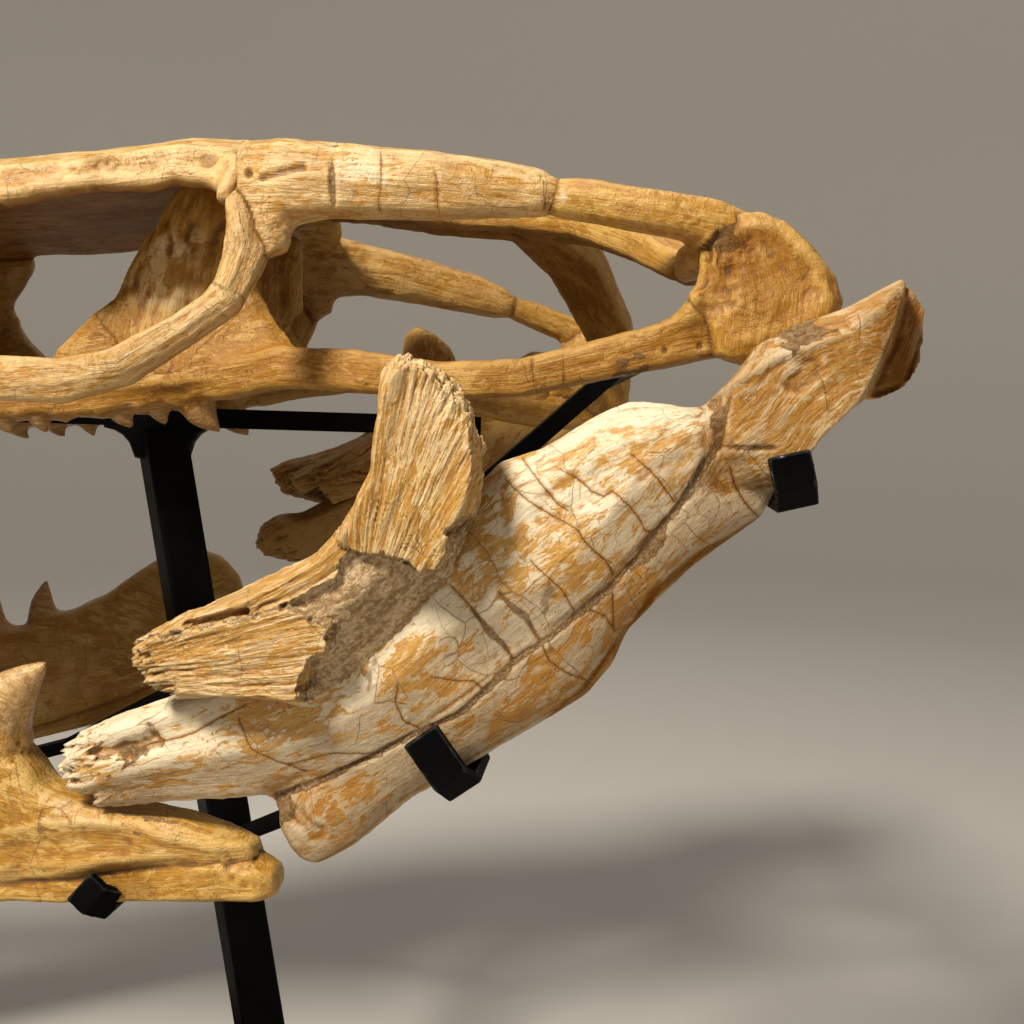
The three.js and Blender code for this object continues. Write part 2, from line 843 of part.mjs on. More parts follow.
// Each maker takes a clearance; each piece is cut back from those before it.
function frame() {
  const { length, width, height } = BASE;
  const post = (grow) => beam(POST.foot, POST.head, POST.size, POST.size, { turn: POST.turn, grow });
  const alongPost = (share, out = 0) => {
    const at = V(...POST.foot).lerp(V(...POST.head), share);
    return [at.x, at.y + out, at.z];
  };
  const rod = (from, to, size = ROD) => (grow) => beam(from, to, size, size, { grow });
  const spineAt = (x, up = 0) => {
    const share = (x - SPINE.front[0]) / (SPINE.rear[0] - SPINE.front[0]);
    const at = V(...SPINE.front).lerp(V(...SPINE.rear), share);
    return [at.x, at.y, at.z + up];
  };
  const jawHook = (side, half, at, grip) => (grow) =>
    sided(moved(hook(at, grip, grow), pose(JAW[side][half])), JAW[side].sign);

  const rail = {
    left: [[70, -31, -10], [328, -31, 9]],
    right: [[44, 4, -34], [246, 4, -24]],
    dentaryLeft: [[-70, -26, 8], [-430, -24, 20]],
    dentaryRight: [[-150, 0, -9.6], [-430, -2, -5.6]],
  };
  const ends = (side, half, [from, to]) => [jawPoint(side, half, from), jawPoint(side, half, to)];
  const leftRail = ends("left", "rear", rail.left);
  const rightRail = ends("right", "rear", rail.right);
  const leftDentaryRail = ends("left", "front", rail.dentaryLeft);
  const rightDentaryRail = ends("right", "front", rail.dentaryRight);

  const jawGrip = { inner: -21, outer: 23, low: -21, rise: 30 };
  return {
    stand_base: (grow) =>
      beam([-length / 2, 0, height / 2], [length / 2, 0, height / 2], width, height, { grow }),
    stand_post: post,
    stand_spine: (grow) => beam(SPINE.front, SPINE.rear, SPINE.wide, SPINE.high, { grow }),
    stand_prop_front: rod(spineAt(-286, 6), spineAt(-286, 26)),
    stand_prop_rear: rod(spineAt(92, 6), [92, 0, 665]),
    stand_brace: rod(alongPost(0.63), [346, 0, 550], 11),
    stand_crossbar: rod([352, -152, 558], [352, 146, 543]),
    stand_clip_jaw_left_front: jawHook("left", "rear", 102, jawGrip),
    stand_clip_jaw_left_rear: jawHook("left", "rear", 310, {
      ...jawGrip, low: 3, rise: 20, lean: 22,
    }),
    stand_clip_jaw_right_front: jawHook("right", "rear", 62, { ...jawGrip, low: -22 }),
    stand_clip_jaw_right_rear: jawHook("right", "rear", 228, { ...jawGrip, low: -14, rise: 38 }),
    stand_clip_dentary_left_rear: jawHook("left", "front", -88, {
      inner: -16, outer: 15, low: 4, rise: 15, lean: -44,
    }),
    stand_clip_dentary_left_front: jawHook("left", "front", -400, {
      inner: -17, outer: 17, low: 4, rise: 26,
    }),
    stand_clip_dentary_right_rear: jawHook("right", "front", -190, {
      inner: -16, outer: 16, low: 1, rise: 24,
    }),
    stand_clip_dentary_right_front: jawHook("right", "front", -400, {
      inner: -17, outer: 17, low: 4, rise: 26,
    }),
    stand_rail_jaw_left: rod(...leftRail),
    stand_rail_jaw_right: rod(...rightRail),
    stand_rail_dentary_left: rod(...leftDentaryRail),
    stand_rail_dentary_right: rod(...rightDentaryRail),
    stand_arm_jaw_left: rod(alongPost(0.485), leftRail[0], 10),
    stand_arm_jaw_right: rod(alongPost(0.6), rightRail[0], 10),
    stand_arm_dentary_left: rod(alongPost(0.47), leftDentaryRail[0]),
    stand_arm_dentary_right: rod(alongPost(0.69), rightDentaryRail[0]),
  };
}

// A steel piece cut back by the clearance, on every axis, from a bone it meets.
function clearOf(piece, bone) {
  if (piece.intersect(bone).isEmpty()) return piece;
  const shifts = [-GAP, GAP].flatMap((d) => [[d, 0, 0], [0, d, 0], [0, 0, d]]);
  return cut(piece, ...shifts.map((shift) => bone.translate(shift)));
}

const steel = [];
for (const [name, maker] of Object.entries(frame())) {
  place(root, name, bones.reduce(clearOf, beside(maker(0), ...steel)), "steel");
  steel.push(maker);
}

export default root;
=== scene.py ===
import math
from types import SimpleNamespace

import bmesh
import bpy
import numpy as np
from mathutils import Matrix, Vector
from mathutils.bvhtree import BVHTree


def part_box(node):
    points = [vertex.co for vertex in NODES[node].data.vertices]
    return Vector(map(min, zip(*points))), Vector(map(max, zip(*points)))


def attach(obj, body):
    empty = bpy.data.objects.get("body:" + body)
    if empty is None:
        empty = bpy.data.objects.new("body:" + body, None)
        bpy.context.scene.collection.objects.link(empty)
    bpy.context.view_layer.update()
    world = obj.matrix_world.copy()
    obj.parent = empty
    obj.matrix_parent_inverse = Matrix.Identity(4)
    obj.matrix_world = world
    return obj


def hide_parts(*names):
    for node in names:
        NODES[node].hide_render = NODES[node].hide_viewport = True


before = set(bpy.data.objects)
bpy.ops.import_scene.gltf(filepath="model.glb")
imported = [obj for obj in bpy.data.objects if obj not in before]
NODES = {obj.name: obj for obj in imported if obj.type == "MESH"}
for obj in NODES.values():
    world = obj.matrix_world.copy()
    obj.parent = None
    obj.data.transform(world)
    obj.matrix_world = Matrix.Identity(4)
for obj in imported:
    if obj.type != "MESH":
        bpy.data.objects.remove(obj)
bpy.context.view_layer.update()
MM = 0.001

# ------------------------------------------------------------------ noise

DRAW = np.random.RandomState(11)
SHUFFLE = np.tile(DRAW.permutation(256), 3)
SLOPES = DRAW.normal(size=(256, 3))
SLOPES /= np.linalg.norm(SLOPES, axis=1)[:, None]
SEEDS = DRAW.uniform(size=(256, 3))


def lattice(cell, step):
    i = (cell + step) & 255
    return SHUFFLE[SHUFFLE[SHUFFLE[i[:, 0]] + i[:, 1]] + i[:, 2]]


def noise(p):
    """Gradient noise of about -1 to 1 at points p, one cell a unit."""
    whole = np.floor(p)
    f = p - whole
    cell = whole.astype(np.int64)
    ease = f * f * f * (f * (f * 6 - 15) + 10)
    total = np.zeros(len(p))
    for corner in np.ndindex(2, 2, 2):
        step = np.array(corner)
        slope = SLOPES[lattice(cell, step)]
        weight = np.where(step, ease, 1 - ease).prod(1)
        total += weight * (slope * (f - step)).sum(1)
    return total * 1.7


def fractal(p, octaves=2, rough=0.5):
    total, size = np.zeros(len(p)), 1.0
    for k in range(octaves):
        total += size * noise(p * 2.0**k + 13.7 * k)
        size *= rough
    return total


def drift(p, seeds, octaves=2):
    """A smooth random vector at each point."""
    return np.stack([fractal(p + seed, octaves) for seed in seeds], 1)


def cells(p, jitter=0.85):
    """Distance to the nearest of scattered seeds, and that seed's lot."""
    whole = np.floor(p)
    cell = whole.astype(np.int64)
    nearest, lot = np.full(len(p), 99.0), np.zeros(len(p))
    for corner in np.ndindex(3, 3, 3):
        step = np.array(corner) - 1
        drawn = lattice(cell, step)
        off = step + 0.5 + jitter * (SEEDS[drawn] - 0.5) - (p - whole)
        away = (off * off).sum(1)
        nearer = away < nearest
        nearest[nearer], lot[nearer] = away[nearer], SEEDS[drawn[nearer], 1]
    return np.sqrt(nearest), lot


def ramp(x, low, high):
    t = np.clip((x - low) / (high - low), 0, 1)
    return t * t * (3 - 2 * t)


# ------------------------------------------------------------------ meshes


def read(items, field, width, kind=np.float32):
    flat = np.empty(len(items) * width, kind)
    items.foreach_get(field, flat)
    return flat.reshape(-1, width)


def points_of(mesh):
    return read(mesh.vertices, "co", 3).astype(float) / MM


def normals_of(mesh):
    return read(mesh.vertices, "normal", 3).astype(float)


def edges_of(mesh):
    return read(mesh.edges, "vertices", 2, np.int32)


def put_points(mesh, points):
    mesh.vertices.foreach_set("co", (points * MM).astype(np.float32).ravel())
    mesh.update()


def new_object(name, mesh):
    piece = bpy.data.objects.new(name, mesh)
    bpy.context.scene.collection.objects.link(piece)
    return piece


def mesh_from(name, points, faces):
    mesh = bpy.data.meshes.new(name)
    mesh.from_pydata([tuple(p * MM) for p in np.asarray(points, float)], [], faces)
    mesh.update()
    return mesh


def evaluated(piece):
    """Applies a piece's modifiers."""
    graph = bpy.context.evaluated_depsgraph_get()
    graph.update()
    made = bpy.data.meshes.new_from_object(piece.evaluated_get(graph))
    old = piece.data
    piece.modifiers.clear()
    piece.data = made
    bpy.data.meshes.remove(old)
    return piece


def remeshed(piece, voxel):
    modifier = piece.modifiers.new("voxels", "REMESH")
    modifier.mode = "VOXEL"
    modifier.voxel_size = voxel * MM
    modifier.use_smooth_shade = True
    return evaluated(piece)


def average(values, edges):
    """Each point's mean over its neighbours."""
    count = np.maximum(np.bincount(edges.ravel(), minlength=len(values)), 1)
    total = np.zeros_like(values)
    for axis in range(values.shape[1]):
        total[:, axis] = np.bincount(edges[:, 0], values[edges[:, 1], axis], len(values))
        total[:, axis] += np.bincount(edges[:, 1], values[edges[:, 0], axis], len(values))
    return total / count[:, None]


def relaxed(points, edges, rounds, pull=0.5, push=-0.53):
    """Smoothing that keeps volume."""
    for _ in range(rounds):
        for share in (pull, push):
            points = points + share * (average(points, edges) - points)
    return points


def smooth(mesh, rounds):
    put_points(mesh, relaxed(points_of(mesh), edges_of(mesh), rounds))


def standing_out(mesh, points, edges, rounds):
    """How far each point stands out of its smoothed surroundings."""
    blurred = points
    for _ in range(rounds):
        blurred = average(blurred, edges)
    return ((points - blurred) * normals_of(mesh)).sum(1)


def attribute(mesh, name, values):
    kind, field = ("FLOAT_VECTOR", "vector") if np.ndim(values) == 2 else ("FLOAT", "value")
    made = mesh.attributes.new(name, kind, "POINT")
    made.data.foreach_set(field, np.asarray(values, np.float32).ravel())


def dressed(piece, material, rounded, replaced):
    """Gives a piece its material, hangs it on the root and hides the parts that it stands for."""
    mesh = piece.data
    mesh.materials.clear()
    mesh.materials.append(material)
    mesh.polygons.foreach_set("use_smooth", np.full(len(mesh.polygons), rounded))
    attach(piece, "root")
    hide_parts(*replaced)


# ------------------------------------------------------------------ materials


class Nodes:
    """A material's node tree, with short calls for the nodes that the looks need."""

    def __init__(self, name):
        self.material = bpy.data.materials.new(name)
        self.material.use_nodes = True
        self.tree = self.material.node_tree
        self.tree.nodes.clear()
        self.shader = self.node("BsdfPrincipled")
        self.node("OutputMaterial", {"Surface": self.shader.outputs[0]})

    def link(self, source, target):
        if hasattr(source, "links"):
            self.tree.links.new(source, target)
        elif isinstance(source, tuple) and target.type == "RGBA":
            target.default_value = (*source, 1.0)
        else:
            target.default_value = source

    def node(self, kind, inputs=(), **settings):
        """A node with its settings made and its inputs, by name or number, filled."""
        made = self.tree.nodes.new("ShaderNode" + kind)
        for key, value in settings.items():
            setattr(made, key, value)
        for key, value in dict(inputs).items():
            self.link(value, made.inputs[key])
        return made

    def attribute(self, name, output="Fac"):
        return self.node("Attribute", attribute_name=name).outputs[output]

    def math(self, kind, *values, clamp=False):
        return self.node("Math", enumerate(values), operation=kind, use_clamp=clamp).outputs[0]

    def times(self, *values):
        total = values[0]
        for value in values[1:]:
            total = self.math("MULTIPLY", total, value)
        return total

    def plus(self, total, *values):
        for value in values:
            total = self.math("ADD", total, value)
        return total

    def stretched(self, place, *scales):
        return self.node("VectorMath", {0: place, 1: scales}, operation="MULTIPLY").outputs[0]

    def noise(self, place, scale, detail=3.0, rough=0.5):
        inputs = {"Vector": place, "Scale": scale, "Detail": detail, "Roughness": rough}
        return self.node("TexNoise", inputs).outputs["Fac"]

    def crackle(self, place, scale, feature="DISTANCE_TO_EDGE", random=1.0):
        inputs = {"Vector": place, "Scale": scale, "Randomness": random}
        return self.node("TexVoronoi", inputs, feature=feature).outputs["Distance"]

    def cell(self, place, scale):
        """A random number for each cell of a cracked net."""
        color = self.node("TexVoronoi", {"Vector": place, "Scale": scale}).outputs["Color"]
        return self.node("SeparateColor", {0: color}).outputs[0]

    def ramp(self, value, low, high):
        inputs = {"Value": value, "From Min": low, "From Max": high}
        return self.node("MapRange", inputs, interpolation_type="SMOOTHSTEP").outputs["Result"]

    def mix(self, share, a, b, kind="MIX"):
        inputs = {0: share, 6: a, 7: b}
        return self.node("Mix", inputs, data_type="RGBA", blend_type=kind).outputs[2]

    def painted(self, body, *layers):
        """Lays colours over one another; each comes with the shares that thin it."""
        for color, *shares in layers:
            body = self.mix(self.times(*shares), body, color)
        return body

    def bump(self, height, strength, distance):
        inputs = {"Strength": strength, "Distance": distance, "Height": height}
        return self.node("Bump", inputs).outputs[0]

    def finish(self, sockets):
        for name, value in sockets.items():
            self.link(value, self.shader.inputs[name])
        return self.material


def bone_material(name):
    """Mineralised bone: grain, stains, cracks, matrix in the hollows, enamel on teeth, and painted shade.

    Attributes of the surface steer it. Vectors: grain (metres along and across the fibres),
    web (the same, bent, for the cracks), place. Millimetres: rift (from the nearest crack),
    fill (inside the edge of the matrix). The rest run from 0 to 1 or thereabouts.
    """
    n = Nodes(name)
    grain, web, place = (n.attribute(key, "Vector") for key in ("grain", "web", "place"))
    relief, warm, shade = n.attribute("relief"), n.attribute("warm"), n.attribute("shade")
    enamel, flute, craze = n.attribute("enamel"), n.attribute("flute"), n.attribute("craze")
    rift_on = n.attribute("rift_on")

    # Each bone colour as it is on the cream rear jaw and on the warm bones.
    pale = n.mix(warm, (0.77, 0.66, 0.465), (0.63, 0.39, 0.105))
    mid = n.mix(warm, (0.57, 0.46, 0.30), (0.45, 0.235, 0.042))
    ochre = n.mix(warm, (0.45, 0.205, 0.024), (0.35, 0.148, 0.012))
    amber = n.mix(warm, (0.66, 0.38, 0.09), (0.51, 0.265, 0.026))
    dark, line = (0.070, 0.034, 0.013), (0.165, 0.080, 0.022)

    grains = n.noise(place, 420, 4, 0.74)
    strokes = n.noise(n.stretched(web, 0.17, 1.0, 1.0), 215, 5, 0.74)
    dashes = n.noise(n.stretched(web, 0.20, 1.0, 1.0), 520, 3, 0.65)
    streaks = n.noise(n.stretched(grain, 0.065, 1.0, 1.0), 600, 3, 0.65)
    creases = n.noise(n.stretched(web, 1.0, 0.30, 0.30), 560, 3, 0.65)
    fleck = n.cell(n.stretched(web, 0.40, 1.0, 1.0), 230)
    amount = n.attribute("amount")
    for texture, strength in ((fleck, 0.34), (strokes, 1.05), (dashes, 0.55)):
        amount = n.plus(amount, n.times(n.math("SUBTRACT", texture, 0.5), strength))
    rich = n.mix(n.times(n.ramp(streaks, 0.40, 0.62), 0.85), ochre, amber)
    grained = n.math("ADD", 0.22, n.math("MULTIPLY", flute, 0.8), clamp=True)
    pores = n.times(n.ramp(n.crackle(place, 300, "F1"), 0.17, 0.08), n.attribute("pores"))
    worn = n.times(n.ramp(creases, 0.53, 0.60), n.attribute("rugged"))
    # The base runs from mid to pale: random tone, and on the near jaw painted light over the crest and
    # painted shade under it.
    body = n.painted(
        n.mix(n.attribute("tone"), mid, pale),
        (amber, n.ramp(amount, 0.40, 0.60), 0.42),
        (rich, n.ramp(amount, 0.55, 0.585), 0.94),
        (rich, n.ramp(dashes, 0.575, 0.61), n.ramp(amount, 0.28, 0.5)),
        (pale, n.ramp(dashes, 0.42, 0.37), 0.55),
        (line, n.ramp(grains, 0.56, 0.70), 0.40),
        (line, n.ramp(streaks, 0.53, 0.70), grained, 0.8),
        (pale, n.ramp(streaks, 0.47, 0.30), grained),
        (dark, pores, 0.85),
        (line, worn, 0.16),
        # Browner and darker in the hollows, paler on the ridges: brown stain with painted shade in the
        # crevices, and a painted highlight on the ridges.
        (ochre, n.ramp(relief, -0.05, -0.75), 0.75),
        (line, n.ramp(relief, -0.45, -1.5), 0.8),
        (pale, n.ramp(relief, 0.15, 1.0), 0.55),
    )

    slabs = n.stretched(web, 0.62, 1.0, 1.0)
    hair = n.ramp(n.crackle(slabs, 42, random=0.6), 0.010, 0.004)
    fine = n.ramp(n.crackle(slabs, 125, random=0.6), 0.022, 0.008)
    fine = n.times(fine, n.ramp(craze, 0.50, 0.62), 0.75)
    crazing = n.math("MAXIMUM", n.times(hair, n.ramp(craze, 0.40, 0.50)), fine)
    wander = n.times(n.math("SUBTRACT", grains, 0.5), 2.2)
    apart = n.math("ABSOLUTE", n.plus(n.attribute("rift"), wander))
    rift = n.times(n.ramp(apart, n.plus(0.25, n.times(strokes, 0.5)), 0.18), rift_on)
    body = n.painted(
        body,
        (line, crazing, 0.62),
        (ochre, n.ramp(apart, 2.0, 0.3), rift_on, strokes),
        (dark, rift, 0.76),
    )

    edge = n.plus(n.attribute("fill"), n.times(n.math("SUBTRACT", grains, 0.5), 3.0))
    dirt = n.ramp(edge, -0.1, 0.3)
    drab = n.mix(n.ramp(grains, 0.38, 0.64), (0.17, 0.105, 0.050), (0.37, 0.25, 0.135))
    crumbs = n.ramp(n.plus(grains, strokes), 0.84, 1.18)
    straw = n.mix(crumbs, (0.34, 0.225, 0.115), (0.86, 0.65, 0.40))
    # The straw mix is partly painted light: it lightens the matrix of the coronoid's bed, which lies in
    # shade.
    silt = n.mix(n.attribute("clay"), drab, straw)
    warm_silt = n.mix(0.5, silt, (0.27, 0.145, 0.045))
    crown = n.mix(n.ramp(streaks, 0.40, 0.62), (0.36, 0.20, 0.07), (0.56, 0.36, 0.15))
    body = n.painted(
        body,
        (line, n.ramp(n.math("ABSOLUTE", edge), 0.8, 0.1), 0.55),
        (n.mix(warm, silt, warm_silt), dirt),
        (crown, enamel),
    )
    # Painted shade: where shade is set, the colour is multiplied towards dark brown.
    body = n.mix(shade, body, n.mix(1.0, body, (0.37, 0.23, 0.10), "MULTIPLY"))

    rough = n.plus(0.43, n.times(grains, 0.22))
    rough = n.math("SUBTRACT", rough, n.times(n.attribute("lustre"), 0.20))
    rough = n.plus(rough, n.times(dirt, 0.40))
    rough = n.math("SUBTRACT", rough, n.times(enamel, 0.15), clamp=True)
    # Weaker reflection where shade is painted and where matrix lies, so painted shade stays dark.
    gloss = n.math("SUBTRACT", 0.5, n.times(n.math("MAXIMUM", shade, dirt), 0.49))
    height = n.times(streaks, n.plus(0.35, n.times(flute, 3.0)))
    height = n.math("SUBTRACT", height, n.times(worn, 0.4))
    height = n.plus(height, n.times(grains, n.plus(0.85, n.times(dirt, 1.3))))
    return n.finish({"Base Color": body, "Roughness": rough, "Specular IOR Level": gloss,
                     "Normal": n.bump(height, 0.8, 0.0010)})


def steel_material(name):
    """Satin black paint with faint orange peel, rubbed to metal on a few edges."""
    n = Nodes(name)
    place = n.attribute("place", "Vector")
    smear = n.ramp(n.noise(place, 24, 4, 0.6), 0.4, 0.65)
    rub = n.plus(n.attribute("wear"), n.times(n.noise(place, 160, 5, 0.7), 0.7))
    bare = n.ramp(rub, 1.22, 1.36)
    body = n.painted(
        n.mix(smear, (0.001, 0.001, 0.0011), (0.0025, 0.0025, 0.0025)),
        ((0.035, 0.034, 0.033), n.ramp(rub, 0.95, 1.25), 0.6),
        ((0.34, 0.33, 0.32), bare),
    )
    rough = n.plus(0.40, n.times(n.noise(place, 60, 4), 0.16))
    peel = n.bump(n.noise(place, 420, 3, 0.55), 0.12, 0.0006)
    return n.finish({"Base Color": body, "Roughness": rough, "Metallic": n.times(bare, 0.8),
                     "Specular IOR Level": 0.05, "Normal": peel})


def floor_material(name):
    """Matt paper, a little paler as it rises into the backdrop: painted light."""
    n = Nodes(name)
    body = n.mix(n.attribute("lift"), (0.50, 0.475, 0.445), (0.66, 0.625, 0.585))
    return n.finish({"Base Color": body, "Roughness": 0.9})


# ------------------------------------------------------------------ camera, stage, light

scene = bpy.context.scene
EYE = (0.230, -0.700, 0.520)
YAW, PITCH = math.radians(4.25), math.radians(4.78)  # to the right, and down
SENSOR, FOCAL = 36, 38.671875


def make_camera():
    right = Vector((math.cos(YAW), -math.sin(YAW), 0))
    flat = math.cos(PITCH)
    ahead = Vector((math.sin(YAW) * flat, math.cos(YAW) * flat, -math.sin(PITCH)))
    turn = Matrix((right, right.cross(ahead), -ahead)).transposed()
    lens = bpy.data.cameras.new("camera")
    lens.sensor_width, lens.lens = SENSOR, FOCAL
    lens.clip_start, lens.clip_end = 0.05, 30
    camera = bpy.data.objects.new("camera", lens)
    camera.matrix_world = Matrix.Translation(EYE) @ turn.to_4x4()
    scene.collection.objects.link(camera)
    scene.camera = camera


def make_stage():
    """A pale floor that rises all round into a plain backdrop."""
    profile = [(1.2, 0), (2.4, 0), (3.0, 0.04), (3.5, 0.22), (3.85, 0.6)]
    profile += [(4.0, height) for height in (1.1, 2.2, 3.6)]
    around = 96
    points, faces = [], []
    for radius, height in profile:
        for k in range(around):
            angle = 2 * math.pi * k / around
            points.append((radius * math.cos(angle) / MM, radius * math.sin(angle) / MM, height / MM))
    points.append((0, 0, 0))
    for ring in range(len(profile) - 1):
        for k in range(around):
            a, b = ring * around + k, ring * around + (k + 1) % around
            faces.append((a, b, b + around, a + around))
    faces += [(k, len(points) - 1, (k + 1) % around) for k in range(around)]
    mesh = mesh_from("backdrop", points, [face[::-1] for face in faces])
    mesh.polygons.foreach_set("use_smooth", np.full(len(faces), True))
    floor = new_object("backdrop", mesh)
    attribute(mesh, "lift", ramp(points_of(mesh)[:, 2] * MM, 0.1, 2.2))
    mesh.materials.append(floor_material("pale_floor"))


def area_light(name, place, target, size, power, color):
    lamp = bpy.data.lights.new(name, "AREA")
    lamp.shape, lamp.size, lamp.energy, lamp.color = "DISK", size, power, color
    holder = bpy.data.objects.new(name, lamp)
    holder.location = place
    holder.rotation_euler = (Vector(target) - Vector(place)).to_track_quat("-Z", "Y").to_euler()
    scene.collection.objects.link(holder)


make_camera()
make_stage()
area_light("key", (-0.9, -1.25, 2.25), (0.15, 0, 0.45), 0.55, 100, (1.0, 0.925, 0.80))
area_light("fill", (2.1, -1.7, 1.0), (0.1, 0, 0.45), 1.8, 5, (0.95, 0.96, 1.0))
area_light("top", (0.6, 0.9, 2.9), (0.1, 0, 0.5), 1.6, 18, (1.0, 0.95, 0.88))
world = bpy.data.worlds.new("studio")
world.use_nodes = True
background = world.node_tree.nodes["Background"].inputs
background["Color"].default_value = (0.75, 0.76, 0.78, 1)
background["Strength"].default_value = 0.09
scene.world = world
scene.view_settings.view_transform = "Standard"
scene.cycles.max_bounces, scene.cycles.diffuse_bounces, scene.cycles.glossy_bounces = 4, 3, 2

# ------------------------------------------------------------------ where the bones lie

ROLL, ROLL_AXIS = math.radians(2), np.array([0.0, -130, 600])
# Each half of a jaw: where its frame starts, its pitch and its splay. Its sign mirrors y.
JAWS = {
    "left": {"sign": -1, "rear": ((152, 150, 306), 35, 10.2), "front": ((150, 150, 276), 3.5, 11.8)},
    "right": {"sign": 1, "rear": ((132, 150, 352), 31.5, 10.2), "front": ((105, 146, 322), 12, 11.8)},
}


def jaw_turn(side, half):
    origin, pitch, splay = JAWS[side][half]
    p, s = math.radians(pitch), math.radians(splay)
    tilt = np.array([[math.cos(p), 0, -math.sin(p)], [0, 1, 0], [math.sin(p), 0, math.cos(p)]])
    yaw = np.array([[math.cos(s), -math.sin(s), 0], [math.sin(s), math.cos(s), 0], [0, 0, 1]])
    return np.array(origin, float), yaw @ tilt


def from_jaw(side, half, points):
    origin, turn = jaw_turn(side, half)
    return (np.asarray(points, float) @ turn.T + origin) * (1, JAWS[side]["sign"], 1)


def to_jaw(side, half, points):
    origin, turn = jaw_turn(side, half)
    return (points * (1, JAWS[side]["sign"], 1) - origin) @ turn


def rolled(points, angle):
    c, s = math.cos(angle), math.sin(angle)
    return (points - ROLL_AXIS) @ np.array([[1, 0, 0], [0, c, -s], [0, s, c]]).T + ROLL_AXIS


def droop(points):
    """How far the right rear of the cranium has sagged at each point."""
    return 0.16 * np.maximum(0, points[:, 0] - 200) * ramp(points[:, 1], 0, 120)


def from_cranium(sign, points):
    p = rolled(np.asarray(points, float) * (1, sign, 1), -ROLL)
    p[:, 2] -= droop(p)
    return p


def to_cranium(sign, points):
    p = points.copy()
    p[:, 2] += droop(p)
    return rolled(p, ROLL) * (1, sign, 1)


def stretches(points, line):
    """For each stretch of a line: how far along it each point lies (0 to 1, and past its ends),
    the offset from the nearest place on it, its direction and its length."""
    line = np.array(line, float)
    for a, b in zip(line[:-1], line[1:]):
        length = max(np.linalg.norm(b - a), 1e-6)
        along = (points - a) @ (b - a) / length**2
        yield along, points - a - np.clip(along, 0, 1)[:, None] * (b - a), (b - a) / length, length


def line_distance(points, line):
    return np.min([np.linalg.norm(off, axis=1) for _, off, _, _ in stretches(points, line)], 0)


def signed_distance(points, normals, line):
    """Distance from a line on the surface, one side negative, and length to its nearer end."""
    best, signed = np.full(len(points), 1e9), np.full(len(points), 9.0)
    run, reach = np.zeros(len(points)), 0.0
    for number, (along, off, way, length) in enumerate(stretches(points, line)):
        away = np.linalg.norm(off, axis=1)
        side = np.where((off * np.cross(way, normals)).sum(1) < 0, -1.0, 1.0)
        near = away < best
        best[near], signed[near] = away[near], (away * side)[near]
        low, high = -math.inf if number == 0 else 0, math.inf if number == len(line) - 2 else 1
        run[near] = (reach + np.clip(along, low, high) * length)[near]
        reach += length
    return signed, np.minimum(run, reach - run)


def depth_inside(flat, outline):
    """Distance to an outline's edge in a plane, positive inside it."""
    inside = np.zeros(len(flat), bool)
    for (x, y), (next_x, next_y) in zip(outline, outline[1:] + outline[:1]):
        level = (y > flat[:, 1]) != (next_y > flat[:, 1])
        slope = (next_x - x) / ((next_y - y) or 1e-9)
        inside ^= level & (flat[:, 0] < x + (flat[:, 1] - y) * slope)
    best = line_distance(flat, outline + outline[:1])
    return np.where(inside, best, -best)


def beads(path, step):
    """Points at about even steps along a path, in whole millimetres."""
    made = [path[0]]
    for a, b in zip(path, path[1:]):
        count = round(math.dist(a, b) / step)
        made += [tuple(round(p + (q - p) * k / count) for p, q in zip(a, b)) for k in range(1, count + 1)]
    return made


# Heights of the jaw bones' lower and upper edges along the jaw: the fibres run between them.
PROFILES = {
    "surangular": ([-65, -29, 17, 50, 90, 135, 205, 252, 290, 300],
                   [82, 50, 22, 13, 6, 10, 15, 26, 40, 46],
                   [95, 101, 89, 84, 80, 83, 94, 86, 66, 58]),
    "angular": ([8, 34, 71, 130, 176, 208, 250, 292, 306],
                [-14, -22, -18, -21, -23, -8, 0, 2, 10],
                [8, 20, 12, 12, 15, 19, 29, 38, 22]),
    "articular": ([280, 292, 318, 334, 354, 381, 409],
                  [22, 16, 13, 19, 22, 13, 38],
                  [42, 60, 64, 70, 68, 60, 52]),
    "coronoid": ([7, 42, 64, 88, 112, 137, 157, 174, 187, 198, 206, 212],
                 [97, 71, 51, 48, 52, 57, 62, 73, 80, 90, 108, 120],
                 [120, 121, 117, 112, 108, 111, 118, 136, 150, 155, 145, 131]),
    "splenial": ([-430, -240, -100, -22, 3], [6, 2, 0, 0, 4], [12, 16, 19, 27, 18]),
    "dentary": ([-602, -560, -400, -200, -118, -72, -7],
                [20, 8, 10, 13, 16, 23, 26],
                [38, 54, 78, 92, 64, 50, 31]),
}
# Middle lines of the cranium's bones, left and right alike.
LINES = {
    "premaxilla": [[(-622, 0, 546), (-508, 0, 557), (-270, 0, 622)]],
    "maxilla": [[(-492, 40, 560), (-300, 60, 566), (-84, 104, 540)]],
    "prefrontal": [[(-286, 45, 606), (-160, 85, 610), (-44, 96, 640)]],
    "frontal": [[(-318, 0, 606), (-110, 0, 638), (150, 0, 665)]],
    "parietal": [[(151, 0, 665), (290, 0, 652), (328, 44, 638), (356, 88, 617), (372, 124, 598)]],
    "postorbitofrontal": [[(120, 112, 644), (182, 131, 640), (234, 138, 636), (300, 146, 630)]],
    "jugal": [[(-118, 105, 550), (8, 128, 541), (78, 136, 546), (106, 136, 563), (130, 133, 582),
               (138, 127, 606), (132, 122, 636)]],
    "squamosal": [[(280, 144, 631), (345, 157, 620), (390, 163, 611)]],
    "quadrate": [[(392, 162, 545), (395, 166, 580), (384, 163, 620)]],
    "pterygoid": [[(-74, 36, 527), (40, 47, 536), (96, 54, 542), (150, 76, 551), (192, 96, 547),
                   (234, 116, 541), (277, 134, 541), (318, 146, 550), (374, 159, 562)],
                  [(84, 56, 560), (92, 50, 600), (108, 48, 660)]],
    "palatine": [[(-236, 52, 546), (-120, 58, 540), (-50, 40, 530)]],
    "vomer": [[(-498, 0, 540), (-214, 0, 548)]],
}
MEDIAN = ("premaxilla", "frontal", "parietal", "vomer")


